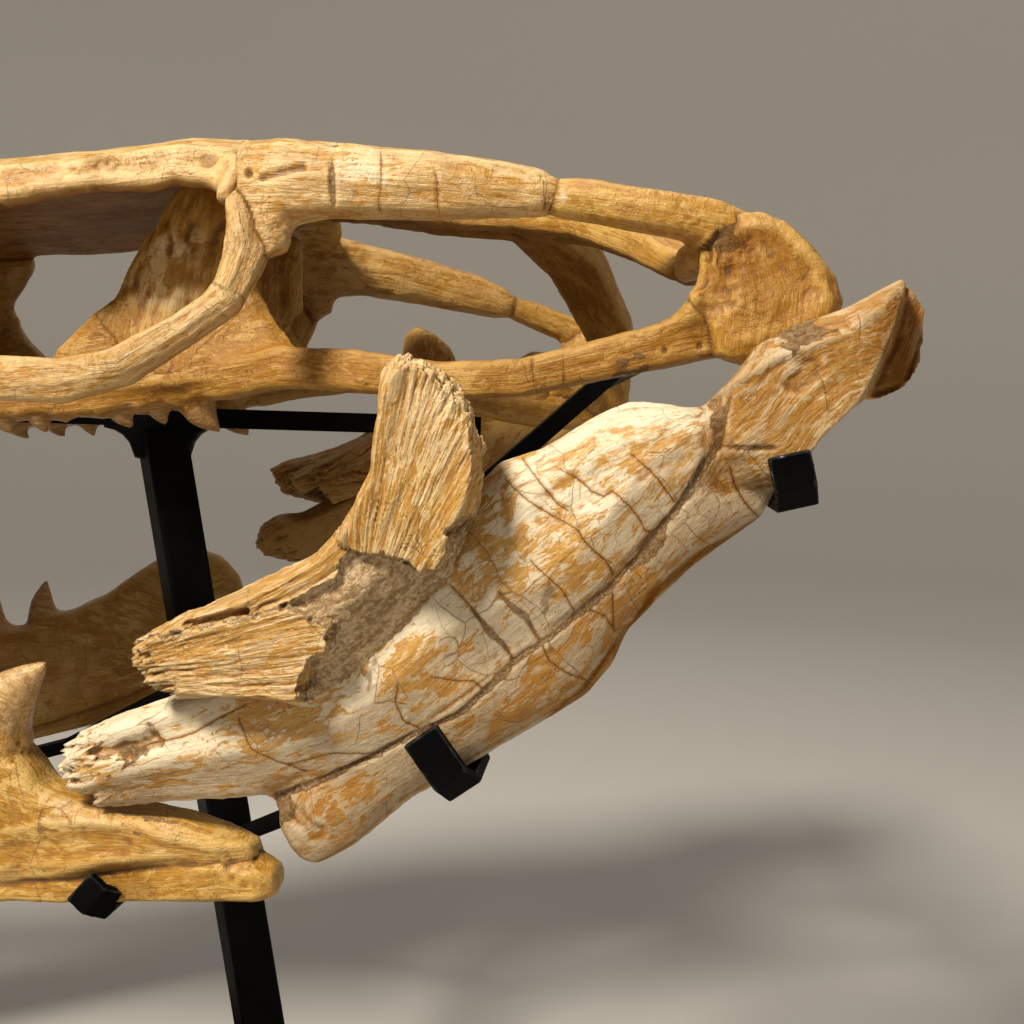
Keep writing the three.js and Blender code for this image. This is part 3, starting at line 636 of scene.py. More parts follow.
def along_lines(points, lines):
    """Length along the nearest line, and the two offsets from it."""
    best, out = np.full(len(points), 1e9), np.zeros((len(points), 3))
    for number, line in enumerate(lines):
        run = 400.0 * number
        for along, off, way, length in stretches(points, line):
            away = np.linalg.norm(off, axis=1)
            side = np.cross(way, (0, 0, 1) if abs(way[2]) < 0.7 else (1, 0, 0))
            side /= np.linalg.norm(side)
            near = away < best
            best[near] = away[near]
            local = np.stack([run + along * length, off @ side, off @ np.cross(side, way)], 1)
            out[near] = local[near]
            run += length
    return out


def edges_at(kind, along):
    """Heights of a jaw bone's lower and upper edges."""
    x, low, high = PROFILES[kind]
    return np.interp(along, x, low), np.interp(along, x, high)


def grain_of(kind, side, points):
    """Coordinates along and across a bone's fibres, in millimetres."""
    if kind in PROFILES:
        local = to_jaw(side, "front" if kind in ("dentary", "splenial") else "rear", points)
        bottom, top = edges_at(kind, local[:, 0])
        share = (local[:, 2] - bottom) / np.maximum(top - bottom, 12)
        _, low, high = np.array(PROFILES[kind], float)
        return np.stack([local[:, 0], local[:, 1], share * (high - low).mean()], 1)
    local = to_cranium(-1 if side == "left" else 1, points)
    if kind not in MEDIAN:
        return along_lines(local, LINES[kind])
    mirrored = local.copy()
    mirrored[:, 1] = np.abs(mirrored[:, 1])
    out = along_lines(mirrored, LINES[kind])
    if kind != "parietal":
        out[:, 1] = local[:, 1]
    return out


# ------------------------------------------------------------------ teeth

TOOTH_RINGS, TOOTH_SIDES = 18, 20
TOOTH_GIRTH = 1.6  # reach of a tooth's own surface from its axis, in radii


def tooth_ring(t):
    """Radius and backward lean of a tooth at a share of its height, both in radii."""
    up = max(t, 0)
    crown = max(0.0, 1 - up**1.55) ** 0.85
    swell = 1.16 - 0.16 * float(ramp(np.array([t]), 0.05, 0.26)[0])
    lean = 0.12 * up - 0.30 * math.sin(math.pi * min(up, 1))
    return crown * swell * (1.0 if t > 0 else 1 + 0.12 * t), lean


def tooth_mesh(base, tip, radius):
    """A recurved crown on a swollen bony pedestal, with striae."""
    length = np.linalg.norm(tip - base)
    axis = (tip - base) / length
    a = np.array([1.0, 0, 0]) - axis * axis[0]
    a /= np.linalg.norm(a)
    b = np.cross(axis, a)
    points, faces = [], []
    for r in range(TOOTH_RINGS):
        t = -0.45 + 1.45 * r / (TOOTH_RINGS - 1)
        width, lean = tooth_ring(t)
        for k in range(TOOTH_SIDES):
            angle = 2 * math.pi * k / TOOTH_SIDES
            stria = 1 + (0.022 if k % 2 else -0.022) * (0.1 < t < 0.92)
            keel = 1 + 0.07 * abs(math.cos(angle)) ** 8 * (t > 0.1)
            reach = radius * width * stria * keel
            across = a * (radius * lean + reach * math.cos(angle)) + b * reach * 0.86 * math.sin(angle)
            points.append(base + axis * t * length + across)
    for r in range(TOOTH_RINGS - 1):
        for k in range(TOOTH_SIDES):
            i, j = r * TOOTH_SIDES + k, r * TOOTH_SIDES + (k + 1) % TOOTH_SIDES
            faces.append((i, j, j + TOOTH_SIDES, i + TOOTH_SIDES))
    faces.append(tuple(range(TOOTH_SIDES))[::-1])
    faces.append(tuple((TOOTH_RINGS - 1) * TOOTH_SIDES + k for k in range(TOOTH_SIDES)))
    return points, faces


PTERYGOID_TEETH = [(97, 1.15), (76, 0.85), (53, 0.85), (32, 0.4), (8, 0.8), (-14, 0.75), (-38, 0.7),
                   (-60, 0.6)]  # place along the skull, size
LAST_TOOTH = {"left": ((-145, 1, 90), (-112, 3, 129), 18), "right": ((-144, 1, 80), (-137, 3, 114), 11)}


def teeth_of(kind, side):
    """(base, tip, radius) of each tooth, in the row frame."""
    sign = -1 if side == "left" else 1
    made = []
    if kind == "premaxilla":
        for s in (-1, 1):
            made += [((-594, s * 15, 535), (-590, s * 19, 503), 9),
                     ((-552, s * 27, 537), (-546, s * 32, 499), 10)]
    if kind == "maxilla":
        for k in range(12):
            x = -474 + 31.5 * k
            out, size = 119 + 0.147 * x, 1 - 0.35 * (k / 12) ** 2
            made.append(((x, out, 532), (x + 9, out + 4, 532 - 38 * size), 11 * size))
    if kind == "pterygoid":
        for k, (x, size) in enumerate(PTERYGOID_TEETH):
            out, line = 51 - 0.07 * (90 - x), 538 - 0.08 * (90 - x)
            lean = (10, 2, 7)[k % 3] * size
            made.append(((x, out, line - 2), (x + lean, out, line - 20.5 * size), 9.5 * size))
    if kind != "dentary":
        return [(*from_cranium(sign, [base, tip]), radius) for base, tip, radius in made]
    made.append(LAST_TOOTH[side])
    for k in range(13):
        x = -180 - 32.5 * k
        size = 1 - 0.25 * (k / 12) ** 2
        line = min(max(94 + (x + 200) * 0.125, 46), 92) - 6
        made.append(((x, 1, line), (x + 10, 4, line + 6 + 38 * size), 11 * size))
    return [(*from_jaw(side, "front", [base, tip]), radius) for base, tip, radius in made]


def from_tooth(points, base, tip):
    """Length along a tooth's axis, distance from the axis, and the tooth's length."""
    length = np.linalg.norm(tip - base)
    axis = (tip - base) / length
    reach = (points - base) @ axis
    return reach, np.linalg.norm(points - base - reach[:, None] * axis, axis=1), length


# ------------------------------------------------------------------ marks

# Marks measured on the bones, millimetres in the row frame. By kind: a line or a centre, half
# width of the line or radius of the patch, and strength.
LINE_MARKS = ("crack", "wide", "groove", "ridge", "hollow", "edge")
MARKS = {
    "postorbitofrontal_left": {
        "wide": [([(184, -135, 660), (183, -143, 642), (183, -141, 622)], 1.5, 1.4)],
        "crack": [
            ([(206, -143, 660), (207, -145, 640), (206, -142, 618)], 0.7, 0.6),
            ([(231, -136, 654), (234, -150, 637), (236, -147, 618)], 1.2, 1.1),
            ([(285, -152, 640), (287, -153, 627), (286, -150, 616)], 1.3, 1.5),
        ],
        "groove": [
            ([(145, -133, 639), (158, -138, 642), (170, -140, 645)], 2.6, 1.8),
            ([(139, -129, 644), (141, -131, 641)], 2.2, 2.6),
        ],
        "pale": [((196, -142, 640), 16, 0.9)],
    },
    "frontal": {
        "rough": [((54, -92, 655), 18, 1.2)],
        "dark": [((54, -94, 655), 12, 0.5)],
    },
    "jugal_left": {
        "crack": [
            ([(96, -128, 570), (99, -136, 560), (103, -138, 546)], 1.1, 1.1),
            ([(110, -130, 584), (114, -138, 574), (122, -140, 566)], 1.1, 1.2),
        ],
    },
    "squamosal_left": {
        "pale": [((296, -155, 629), 7, 1.6)],
        "rough": [((352, -168, 616), 10, 0.8)],
    },
    "quadrate_left": {
        "hollow": [
            ([(362, -172, 606), (366, -174, 590), (366, -174, 578)], 13, 3.2),
            ([(380, -179, 594), (390, -182, 588), (397, -184, 580)], 21, 3.6),
        ],
        "rough": [((366, -173, 592), 20, 1.0)],
        # Painted shade in the quadrate's hollow under the squamosal.
        "dark": [((390, -182, 588), 30, 0.25), ((364, -173, 596), 22, 0.35)],
        "ridge": [
            ([(374, -174, 612), (397, -179, 611), (410, -185, 598), (423, -179, 586),
              (427, -181, 574)], 3.0, 2.0),
            ([(394, -182, 560), (387, -182, 560), (369, -175, 557)], 2.6, 1.6),
            ([(361, -163, 598), (362, -163, 581), (360, -164, 566)], 2.6, 1.4),
        ],
        "soil": [((358, -171, 612), 8, 1.0)],
        "pale": [((352, -166, 585), 9, 0.6)],
    },
    "pterygoid_left": {
        "fold": [((82, -56, 604), 42, 0.9), ((98, -54, 634), 26, 0.8)],
        # The negative dark patch takes painted shade off the fan, which is painted light; the pale
        # patches paint its pale folds and lighten it the same way.
        "dark": [((88, -56, 612), 44, -0.42)],
        "pale": [((84, -56, 600), 26, 0.6), ((92, -56, 622), 14, 0.9), ((70, -57, 594), 12, 0.7)],
        "ochre": [((160, -92, 545), 36, 1.0)],
        "crack": [
            ([(281, -146, 552), (283, -147, 536)], 0.7, 0.6),
            ([(296, -151, 552), (297, -151, 536)], 0.7, 0.6),
        ],
        "groove": [
            ([(343, -163, 554), (345, -163, 554)], 2.0, 1.4),
            ([(359, -167, 556), (361, -167, 556)], 2.0, 1.4),
        ],
        "soil": [((326, -159, 548), 6, 0.6)],
    },
}
# The same on a jaw half's outer face, in its own frame: a line's points are (along, up).
SIDE_MARKS = {
    "jaw_left": ("rear", {
        "crack": [
            ([(214.8, 90), (215.6, 77.7), (216.1, 69.4), (216.9, 63.3), (219.7, 56.8)], 0.6, 0.6),
            ([(202, 86), (204.7, 75), (208.2, 67), (212.9, 57.6), (217.9, 48.5), (219.2, 37.5),
              (221.2, 28.2), (220, 18)], 0.7, 0.7),
            ([(226.1, 76.6), (230.8, 67.1), (234, 58.8), (237.6, 53.5), (242.3, 53.1), (244, 45.1),
              (244.1, 35.6), (242.7, 28.7), (246, 24)], 0.6, 0.6),
            ([(258.9, 62.7), (260.9, 49.6), (261.7, 38), (262.7, 29)], 0.5, 0.4),
            ([(192.1, 48), (193.7, 37.3), (195.6, 27), (194.4, 14)], 0.5, 0.4),
            ([(120.5, 28.6), (128.2, 21.2), (136.1, 15.9), (138, 8)], 0.6, 0.4),
            ([(199.5, 13), (205, 4), (204.5, -4), (214.6, 13)], 0.5, 0.4),
            ([(173.3, 11.3), (171, 1.4), (173.5, -6.6), (179.4, -16)], 0.6, 0.5),
            ([(291.6, 32.3), (289.1, 23), (289.3, 14.5), (289.8, 4)], 0.7, 0.6),
            ([(106, 34), (99, 28), (97, 18), (101, 9)], 0.5, 0.4),
            ([(36, 32), (58, 24), (74, 12)], 0.5, 0.4),
            ([(153.3, 60), (155.4, 45), (156.3, 33)], 0.9, 0.8),
            ([(-26, 81), (4.5, 71), (36.5, 67.6)], 0.8, 0.8),
            ([(29.6, 65), (27.2, 48.2), (40.8, 22.7)], 0.5, 0.4),
        ],
        "wide": [
            ([(155.4, 45), (156.3, 33), (157.5, 21), (156.7, 10)], 1.3, 0.7),
            ([(171, 44), (174.1, 27.2), (172.5, 15.8), (172.7, 10.5)], 1.5, 0.7),
            ([(15.6, 22.3), (43.8, 15.3), (74, 11), (106.2, 8.5), (120.7, 6.5), (137.9, 8.5), (156.5, 11),
              (173.3, 11.3), (188.8, 12.3), (212, 14.8), (234.1, 19.4), (246.9, 23.6), (269.9, 32.3),
              (280.6, 37.7), (292.1, 42), (300, 49), (309.2, 58)], 1.4, 0.9),
            ([(228, 16), (242, 22), (256, 26)], 4.4, 0.9),
            ([(290, 40), (296, 46), (301, 55), (304, 62)], 3.8, 1.4),
            ([(294, 40), (303.7, 32.7), (314, 26)], 0.9, 0.8),
        ],
        # Painted shade along the jaw's lower rim.
        "edge": [
            ([(305, 2), (280, 2), (257, 3), (229.5, 1), (216, -7), (201, -12), (173, -20), (146, -23),
              (121, -25)], 2.6, 0.6),
        ],
        "ridge": [
            ([(301, 60), (315, 61.6), (340, 59.5), (352, 55.5), (367, 51.5)], 1.6, 0.9),
            ([(228, 88), (262, 80), (286, 66), (299, 60)], 4.0, 1.4),
            ([(-42, 100), (-15, 88), (26, 79)], 4.5, 1.6),
        ],
        "hollow": [
            ([(336, 45), (346, 48)], 7, 1.6), ([(212, 62), (250, 58), (276, 52)], 12, 1.6),
            ([(-38, 88), (-26, 82), (-14, 78)], 7, 3.0), ([(23, 9), (26, -4)], 7, 1.8),
        ],
        "rough": [((345, 45), 30, 0.35)],
        "pale": [
            ((345, 62), 12, 0.5), ((203, 70), 12, 0.8), ((293, 57), 9, 0.8), ((183, 19), 16, 0.7),
            ((260, 24), 22, 0.9), ((139, 55), 20, 0.9), ((82, 22), 30, 0.8),
        ],
        "soil": [((-24, 82), 7, 0.5), ((19, 15), 7, 0.6), ((352, 63), 6, 0.4)],
        # Painted shade in the front hollow, under the crest at the front and on the articular's end.
        "dark": [((-24, 82), 12, 0.4), ((-40, 62), 20, 0.25), ((394, 30), 26, 0.45)],
        "ochre": [
            ((25, 3), 9, 1.6), ((187, 76), 24, 1.5), ((166, 57), 22, 1.4), ((210, 33), 20, 1.0),
            ((217, -1), 22, 1.1), ((263, 37), 12, 0.9), ((286, 49), 11, 1.4), ((306, 36), 20, 1.3),
            ((258, 74), 30, 0.8), ((132, 33), 22, 0.8), ((160, -12), 24, 0.9), ((81, 54), 34, 0.9),
            ((45, 58), 26, 1.0), ((-41, 73), 26, 0.9), ((30, 0), 26, 0.9), ((345, 45), 34, 1.0),
            ((376, 52), 26, 0.8),
        ],
        "net": [((172, 58), 30, 1.0), ((250, 30), 30, 0.5)],
    }),
    "front_jaw_left": ("front", {
        "ridge": [
            ([(-142, 43), (-115, 47.5), (-93, 47.7), (-69, 46.4), (-60.6, 45.8), (-54.7, 40.6),
              (-43, 37.4), (-29.6, 33), (-19, 32), (-8.4, 31), (0.3, 36)], 1.5, 1.1),
            ([(-143, 15), (-115, 19.7), (-95.4, 24.3), (-78, 26.3), (-53.6, 29.2), (-42, 28)], 1.6, 0.8),
        ],
        "hollow": [([(-142, 30), (-115, 34), (-92, 36), (-72, 36)], 9, 1.5)],
        "soil": [((-60, 54), 9, 0.7), ((-40, 48), 8, 0.7)],
        # Painted shade on the lower face under the lower ridge.
        "dark": [((-78, 16), 16, 0.35)],
        "rough": [
            ((-75, 54), 20, 0.9), ((-105, 62), 18, 0.9), ((-40, 46), 14, 0.8), ((-15, 21), 11, 1.6),
        ],
        "pale": [((-90, 60), 24, 0.5), ((-45, 50), 14, 0.4)],
        "sponge": [((-117, 92), 20, 1.2)],
        "ochre": [((-100, 32), 40, 0.5), ((-20, 20), 26, 0.6)],
    }),
}
# The coronoid's outer face: outlines in the jaw's frame (along, up) of the process, the leaf
# in front and the strip above it. Its fibres fan out from a point. Matrix fills the rest.
CORONOID = {
    "process": [(186, 172), (202, 168), (214, 156), (220, 140), (220, 125), (213, 112), (210, 100),
                (204, 90), (195, 85), (183, 80.7), (172, 79.7), (169, 73), (163.7, 71), (154.8, 68.2),
                (150.2, 71.3), (148, 79.5), (141.7, 88.3), (133.2, 94.1), (128.8, 99.3), (126, 107),
                (131, 112), (140, 117), (149, 126), (160, 139), (172, 153)],
    "leaf": [(8, 124), (22, 119), (29.8, 116.2), (46.4, 109.7), (67.3, 101.3), (88, 93.1), (98, 80.7),
             (99.2, 74.2), (94.5, 69.4), (84.6, 68.7), (75.5, 62.7), (64, 50), (52, 48), (44, 56),
             (36, 65), (28, 75), (19, 85), (10, 95), (6, 105), (4, 118)],
    "strip": [(20, 127), (34, 131), (56, 127), (84, 121), (104, 117), (122, 118), (134, 121),
              (146, 126), (144, 104.5), (131.2, 99.3), (122.8, 96.6), (116.8, 93.9), (105.4, 94.3),
              (90.3, 96.1), (75.8, 99), (58.1, 105.2), (39.7, 113), (24, 117.5)],
}
FAN_FROM = {"process": (88, 48), "leaf": (-46, 135)}
CORONOID_LIFT = [(118, 0), (130, 2), (146, 5), (158, 6.5), (176, 6), (190, 7), (204, 3), (216, 0)]
SLIT = [(42.6, 114.5), (54, 110.3), (63.8, 107.1), (70.7, 103.6)]
CORONOID_SHIFT = {"left": 0, "right": 10}
# The crest along the lower jaw's outer face, (along, up): below it the face turns down.
CREST = [(-65, 82), (-8, 63.5), (24, 48), (61, 33), (95, 36), (129, 41), (160, 40), (184, 36.5),
         (202, 35), (226, 41), (257, 53), (297, 53)]
# The articular's outer face: how far it swells out (along, out), and where it bends away
# (along, up), above its crest and behind its end.
ARTICULAR = {
    "swell": [(296, 22), (334, 22), (354, 21), (368, 18.5), (381, 15.5), (393, 12), (404, 8)],
    "top": [(292, 66), (306, 65.5), (321, 66), (340, 60), (352, 56), (367, 52.5), (369, 50), (373, 53),
            (388, 52), (402, 57), (430, 90), (292, 110)],
    "flange": [(345, 10), (350, 21), (359.4, 25), (373.8, 32.5), (387.8, 41.7), (398.2, 49.6), (405, 58),
               (430, 60), (430, -20), (345, -20)],
}
# Lumps that stand out of the plain solids, (centre, radius): webs of matrix in the row frame.
WEBS = {
    "cheek_right": [((139, 57, z), 7.5) for z in range(636, 595, -8)],
    "cheek_left": [((361, -168, 578), 7), ((357, -165, 570), 7), ((350, -161, 566), 6),
                   ((341, -159, 562), 6)],
}
# Given in the right half of the cranium, and mirrored: the foot of the prefrontal on the jugal,
# on both sides, and the lip under the left orbit's rim with the fill of its rear corner.
FOOT = [(-62, 106, 598), (-60, 107, 590), (-57, 108, 583), (-52, 108, 577), (-46, 108, 571),
        (-40, 108, 566), (-66, 108, 583), (-62, 108, 575), (-56, 108, 567), (-72, 108, 572),
        (-70, 108, 563), (-50, 108, 562)]
LIP = beads([(10, 95, 638), (33, 95, 643), (38, 95, 643), (47, 96, 645), (61, 96, 646), (73, 96, 646),
             (83, 96, 646), (97, 96, 650), (104, 96, 649), (110, 97, 649), (120, 100, 646),
             (122, 103, 644), (125, 105, 642), (127, 110, 641), (126, 113, 636)], 5.5)
LIP += [(124, 101, 651), (128, 105, 649), (131, 111, 647), (126, 100, 656), (130, 105, 654)]
# In the left jaw's frame: the lower edge of the surangular's front end, and the flange on the
# articular's inner side.
JAW_EDGE = beads([(-54, 12, 70), (-42, 12, 62), (-24, 12, 53), (-5, 12, 41), (13, 12, 32)], 7)
JAW_LUMPS = [(center, 7) for center in JAW_EDGE]
JAW_LUMPS += [((394, 0, 45), 9), ((397, -6, 38), 9), ((392, -10, 31), 9), ((384, -10, 25), 8),
              ((374, -8, 23), 7), ((364, -2, 24), 6), ((380, -10, 36), 10), ((368, -8, 32), 9)]

# Ends that broke across the fibres: (bone, a point of the end, the way the fibres run out
# there, how far back the break reaches, depth of the splinters).
BREAKS = [
    ("coronoid_left", (218, -205, 532), (0.35, 0.0, 0.94), 18, 2.4),
    ("coronoid_left", (92, -178, 418), (-0.93, 0.15, -0.33), 16, 5.0),
    ("surangular_left", (64, -155, 372), (-0.95, 0.15, -0.30), 18, 6.0),
    ("dentary_left", (148, -158, 300), (0.95, -0.2, -0.1), 10, 2.0),
    ("coronoid_right", (150, 185, 470), (-0.93, -0.15, -0.33), 14, 2.5),
    ("surangular_right", (112, 165, 440), (-0.95, -0.15, -0.30), 14, 3.0),
]

# Per bone: depth of fibres, lumps, flakes; stain, warmth, painted shade, lustre.
FINISH = {
    "surangular": (0.08, 0.5, 0.0, 0.06, 0.0, 0.0, 1.0),
    "angular": (0.08, 0.5, 0.0, -0.08, 0.0, 0.22, 1.0),
    "articular": (0.30, 0.8, 0.2, 0.7, 0.4, 0.38, 0.6),
    "coronoid": (0.62, 0.5, 0.3, 0.75, 0.6, 0.0, 0.6),
    "dentary": (0.16, 0.5, 0.1, 0.7, 0.95, 0.0, 0.9),
    "splenial": (0.25, 0.6, 0.2, 0.8, 1.0, 0.05, 0.8),
    "frontal": (0.20, 0.6, 0.2, 0.2, 0.75, 0.0, 0.6),
    "parietal": (0.25, 0.7, 0.2, 0.5, 1.0, 0.2, 0.5),
    "premaxilla": (0.22, 0.6, 0.2, 0.2, 0.9, 0.0, 0.6),
    "maxilla": (0.22, 0.6, 0.2, 0.2, 0.9, 0.0, 0.6),
    "prefrontal": (0.30, 0.8, 0.3, 0.2, 0.9, 0.0, 0.5),
    "postorbitofrontal": (0.28, 0.8, 0.3, 0.3, 0.72, 0.0, 0.7),
    "jugal": (0.42, 0.4, 0.3, 0.35, 0.75, 0.14, 0.6),
    "squamosal": (0.18, 0.5, 0.1, 1.0, 1.0, 0.05, 0.9),
    "quadrate": (0.16, 0.7, 0.2, 1.6, 1.0, 0.14, 0.7),
    "pterygoid": (0.20, 0.6, 0.2, 1.2, 1.0, 0.42, 0.6),
    "palatine": (0.25, 0.6, 0.2, 0.2, 1.0, 0.2, 0.5),
    "vomer": (0.25, 0.6, 0.2, 0.2, 1.0, 0.2, 0.5),
}
FIBRE, LUMP, FLAKE, STAIN, WARM, SHADE, LUSTRE = range(7)  # the columns of FINISH
# Painted shade on the bones of the far side.
FAR_SHADE = {"surangular": 0.55, "angular": 0.55, "articular": 0.5, "coronoid": 0.5, "dentary": 0.3,
             "splenial": 0.4}
DARK_INSIDE = {"roof": (0, 1, 2, 3), "snout": (0, 1, 2, 3, 4, 5)}  # painted shade on their undersides

# ------------------------------------------------------------------ shaping the bones

PLAIN_VOXEL, CLOSED_VOXEL = 2.2, 2.4
PLATE_OUT, PLATE_END = 22.3, 300  # swell of the rear jaw's outer face, and where it stops
BED_OUT, PALATE = 20.3, 540  # where the coronoid's bed of matrix lies, and the palate's height


def ball(center, radius):
    form = bmesh.new()
    bmesh.ops.create_icosphere(form, subdivisions=2, radius=radius * MM)
    bmesh.ops.translate(form, verts=form.verts, vec=Vector(center) * MM)
    mesh = bpy.data.meshes.new("lump")
    form.to_mesh(mesh)
    form.free()
    return new_object("lump", mesh)


def joined(parts):
    """One object from several, in the first one's place."""
    points, faces, start = [], [], 0
    for part in parts:
        points.append(points_of(part.data))
        faces += [tuple(start + v for v in polygon.vertices) for polygon in part.data.polygons]
        start += len(points[-1])
    mesh = mesh_from(parts[0].name, np.concatenate(points), faces)
    used = [part.data for part in parts]
    parts[0].data = mesh
    for part in parts[1:]:
        bpy.data.objects.remove(part)
    for data in used:
        bpy.data.meshes.remove(data)
    return parts[0]


def lumps_of(name):
    lumps = [ball(center, radius) for center, radius in WEBS.get(name, ())]
    if name == "roof":
        lumps += [ball(center, 6) for sign in (-1, 1) for center in from_cranium(sign, FOOT)]
        lumps += [ball(center, 6) for center in from_cranium(-1, LIP)]
    if name == "jaw_left":
        lumps += [ball(from_jaw("left", "rear", [center])[0], radius) for center, radius in JAW_LUMPS]
    return lumps


def blank(name, members, close, rounds):
    """The solids as one rounded body: joints narrower than twice `close` are filled."""
    parts = []
    for member in members:
        copy = new_object("bone_" + name, NODES[member].data.copy())
        copy.matrix_world = NODES[member].matrix_world
        parts.append(copy)
    piece = remeshed(joined(parts + lumps_of(name)), PLAIN_VOXEL)
    if close:
        mesh = piece.data
        put_points(mesh, points_of(mesh) + normals_of(mesh) * close)
        piece = remeshed(piece, CLOSED_VOXEL)
        mesh = piece.data
        smooth(mesh, 6)
        put_points(mesh, points_of(mesh) - normals_of(mesh) * close)
    smooth(piece.data, rounds)
    return piece


def set_teeth(piece, teeth):
    """Takes the solids' plain teeth down to the gum line and sets the finished ones in."""
    if not teeth:
        return piece
    points, edges = points_of(piece.data), edges_of(piece.data)
    stub = np.zeros((len(points), 1))
    for base, tip, radius in teeth:
        reach, away, _ = from_tooth(points, base, tip)
        stub[(reach > 1) & (away < radius * TOOTH_GIRTH)] = 1
    for _ in range(60):
        points += stub * 0.9 * (average(points, edges) - points)
    put_points(piece.data, points)
    crowns = [new_object("tooth", mesh_from("tooth", *tooth_mesh(*tooth))) for tooth in teeth]
    return joined([piece, *crowns])


def jaw_facing(side, half, normals):
    """How squarely each point's surface faces out of the jaw."""
    return (normals * (1, JAWS[side]["sign"], 1)) @ jaw_turn(side, half)[1][:, 1]


def plated(points, normals, side):
    """The jaw's outer face: one shallow curve, turned down under the crest, then the articular's."""
    local = to_jaw(side, "rear", points)
    facing = jaw_facing(side, "rear", normals)
    low, high = edges_at("angular", local[:, 0])[0], edges_at("surangular", local[:, 0])[1]
    across = np.clip((2 * local[:, 2] - low - high) / (high - low), -0.995, 0.995)
    face = PLATE_OUT * (1 - np.abs(across) ** 2.7) ** (1 / 2.7)
    fade = ramp(local[:, 0], 20, 75) * ramp(local[:, 0], PLATE_END + 2, PLATE_END - 28)
    outer = ramp(local[:, 1], 2, 9) * ramp(facing, -0.75, -0.2)
    local[:, 1] += outer * fade * (face - local[:, 1])

    below = np.interp(local[:, 0], *zip(*CREST)) - local[:, 2]
    fall = 0.26 * np.clip((np.sqrt(below**2 + 9) + below) / 2, 0, 22)
    fall += 0.05 * np.clip(-below, 0, 40)
    fade = ramp(local[:, 0], -68, -50) * ramp(local[:, 0], PLATE_END, PLATE_END - 20)
    local[:, 1] -= ramp(local[:, 1], 4, 12) * ramp(facing, -0.2, 0.3) * fade * fall

    flat = local[:, [0, 2]]
    face = np.interp(flat[:, 0], *zip(*ARTICULAR["swell"]))
    face -= 0.95 * np.maximum(depth_inside(flat, ARTICULAR["top"]), 0)
    face = np.maximum(face - 3.6 * np.maximum(depth_inside(flat, ARTICULAR["flange"]), 0), -11)
    fade = ramp(flat[:, 0], PLATE_END, PLATE_END + 18) * ramp(local[:, 1], -15, -11)
    local[:, 1] += ramp(facing, -0.3, 0.1) * fade * (face - local[:, 1])
    return from_jaw(side, "rear", local)


def coronoid_forms(points, side):
    """Depth inside the coronoid's process, leaf and strip, and each point in the plane."""
    flat = to_jaw(side, "rear", points)[:, [0, 2]] - (CORONOID_SHIFT[side], 0)
    jag = 2.6 * noise(points / 9.5) + 1.3 * noise(points / 3.8) + 0.7 * noise(points / 1.9 + 5)
    return [depth_inside(flat, CORONOID[key]) + jag for key in ("process", "leaf", "strip")], flat


def carved_coronoid(points, normals, side):
    """The outer face as a fluted process, a leaf and a strip over a bed of matrix."""
    (process, leaf, strip), flat = coronoid_forms(points, side)
    local = to_jaw(side, "rear", points)
    low, high = edges_at("coronoid", flat[:, 0])
    across = np.clip((2 * local[:, 2] - low - high) / np.maximum(high - low, 10), -0.97, 0.97)
    outer = ramp(jaw_facing(side, "rear", normals), 0.05, 0.4)
    middle = np.interp(flat[:, 0], [0, 110, 210], [26, 29, 33])
    oval, boxy = (1 - np.abs(across) ** 2.5) ** 0.4, (1 - np.abs(across) ** 6) ** (1 / 6)
    local[:, 2] += np.interp(flat[:, 0], *zip(*CORONOID_LIFT)) * ramp(across, 0.1, 0.9)
    raised = middle + (local[:, 1] - middle) * np.clip(boxy / oval, 1, 1.35)
    local[:, 1] += outer * (local[:, 1] > middle) * (raised - local[:, 1])
    bed = BED_OUT + (local[:, 1] - BED_OUT) * (0.08 + 0.70 * ramp(across, -1, 0.15)) - 0.6
    bare = ramp(np.maximum(np.maximum(process, leaf), strip), 0.6, -2.0)
    rim = ramp(across, -0.35, -0.6)
    outer = np.maximum(outer, rim * (bare > 0.5) * ramp(local[:, 1], 16, 20))
    lower = 2.2 * ramp(strip, -0.3, 0.8) * ramp(np.maximum(leaf, process), 0.8, -0.4)
    slit = 5 * ramp(line_distance(flat, SLIT), 2.4, 0.6)
    local[:, 1] += outer * (bare * (bed - local[:, 1]) - (1 - bare) * lower - slit)
    return from_jaw(side, "rear", local)


CARVED = {"jaw_left": plated, "coronoid_left": carved_coronoid, "coronoid_right": carved_coronoid}

# ------------------------------------------------------------------ the surface of the bones


def coronoid_grain(points, side, grain):
    """Fibres that fan out over the process and the leaf."""
    (process, leaf, _), flat = coronoid_forms(points, side)
    fans = ((process, leaf, "process", 112, 0), (leaf, process, "leaf", 104, 400))
    for depth, rival, key, reach, start in fans:
        own = (depth > -1) & (depth > rival)
        away = flat[own] - FAN_FROM[key]
        grain[own, 0] = np.linalg.norm(away, axis=1)
        grain[own, 2] = np.arctan2(away[:, 1], away[:, 0]) % (2 * math.pi) * reach + start


def nearest_bone(points, members):
    """For each point, the member whose solid is nearest, and how far the next one's border is."""
    if len(members) == 1:
        return np.zeros(len(points), int), np.full(len(points), 99.0)
    away = np.zeros((len(members), len(points)))
    for row, member in enumerate(members):
        tree = BVHTree.FromObject(NODES[member], bpy.context.evaluated_depsgraph_get())
        low, high = (np.array(corner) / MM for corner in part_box(member))
        outside = np.maximum(np.maximum(low - points, points - high), 0)
        away[row] = np.linalg.norm(outside, axis=1) + 12
        for i in np.nonzero(away[row] < 30)[0]:
            away[row, i] = tree.find_nearest(Vector(points[i] * MM))[3] / MM
    first, second = np.argsort(away, 0)[:2]
    away = np.sort(away, 0)
    return first, np.where(first < second, 0.5, -0.5) * (away[1] - away[0])


def parted(member):
    """A bone's kind and side; the bones of the middle line count as right-hand ones."""
    kind, _, side = member.partition("_")
    return kind, side or "right"


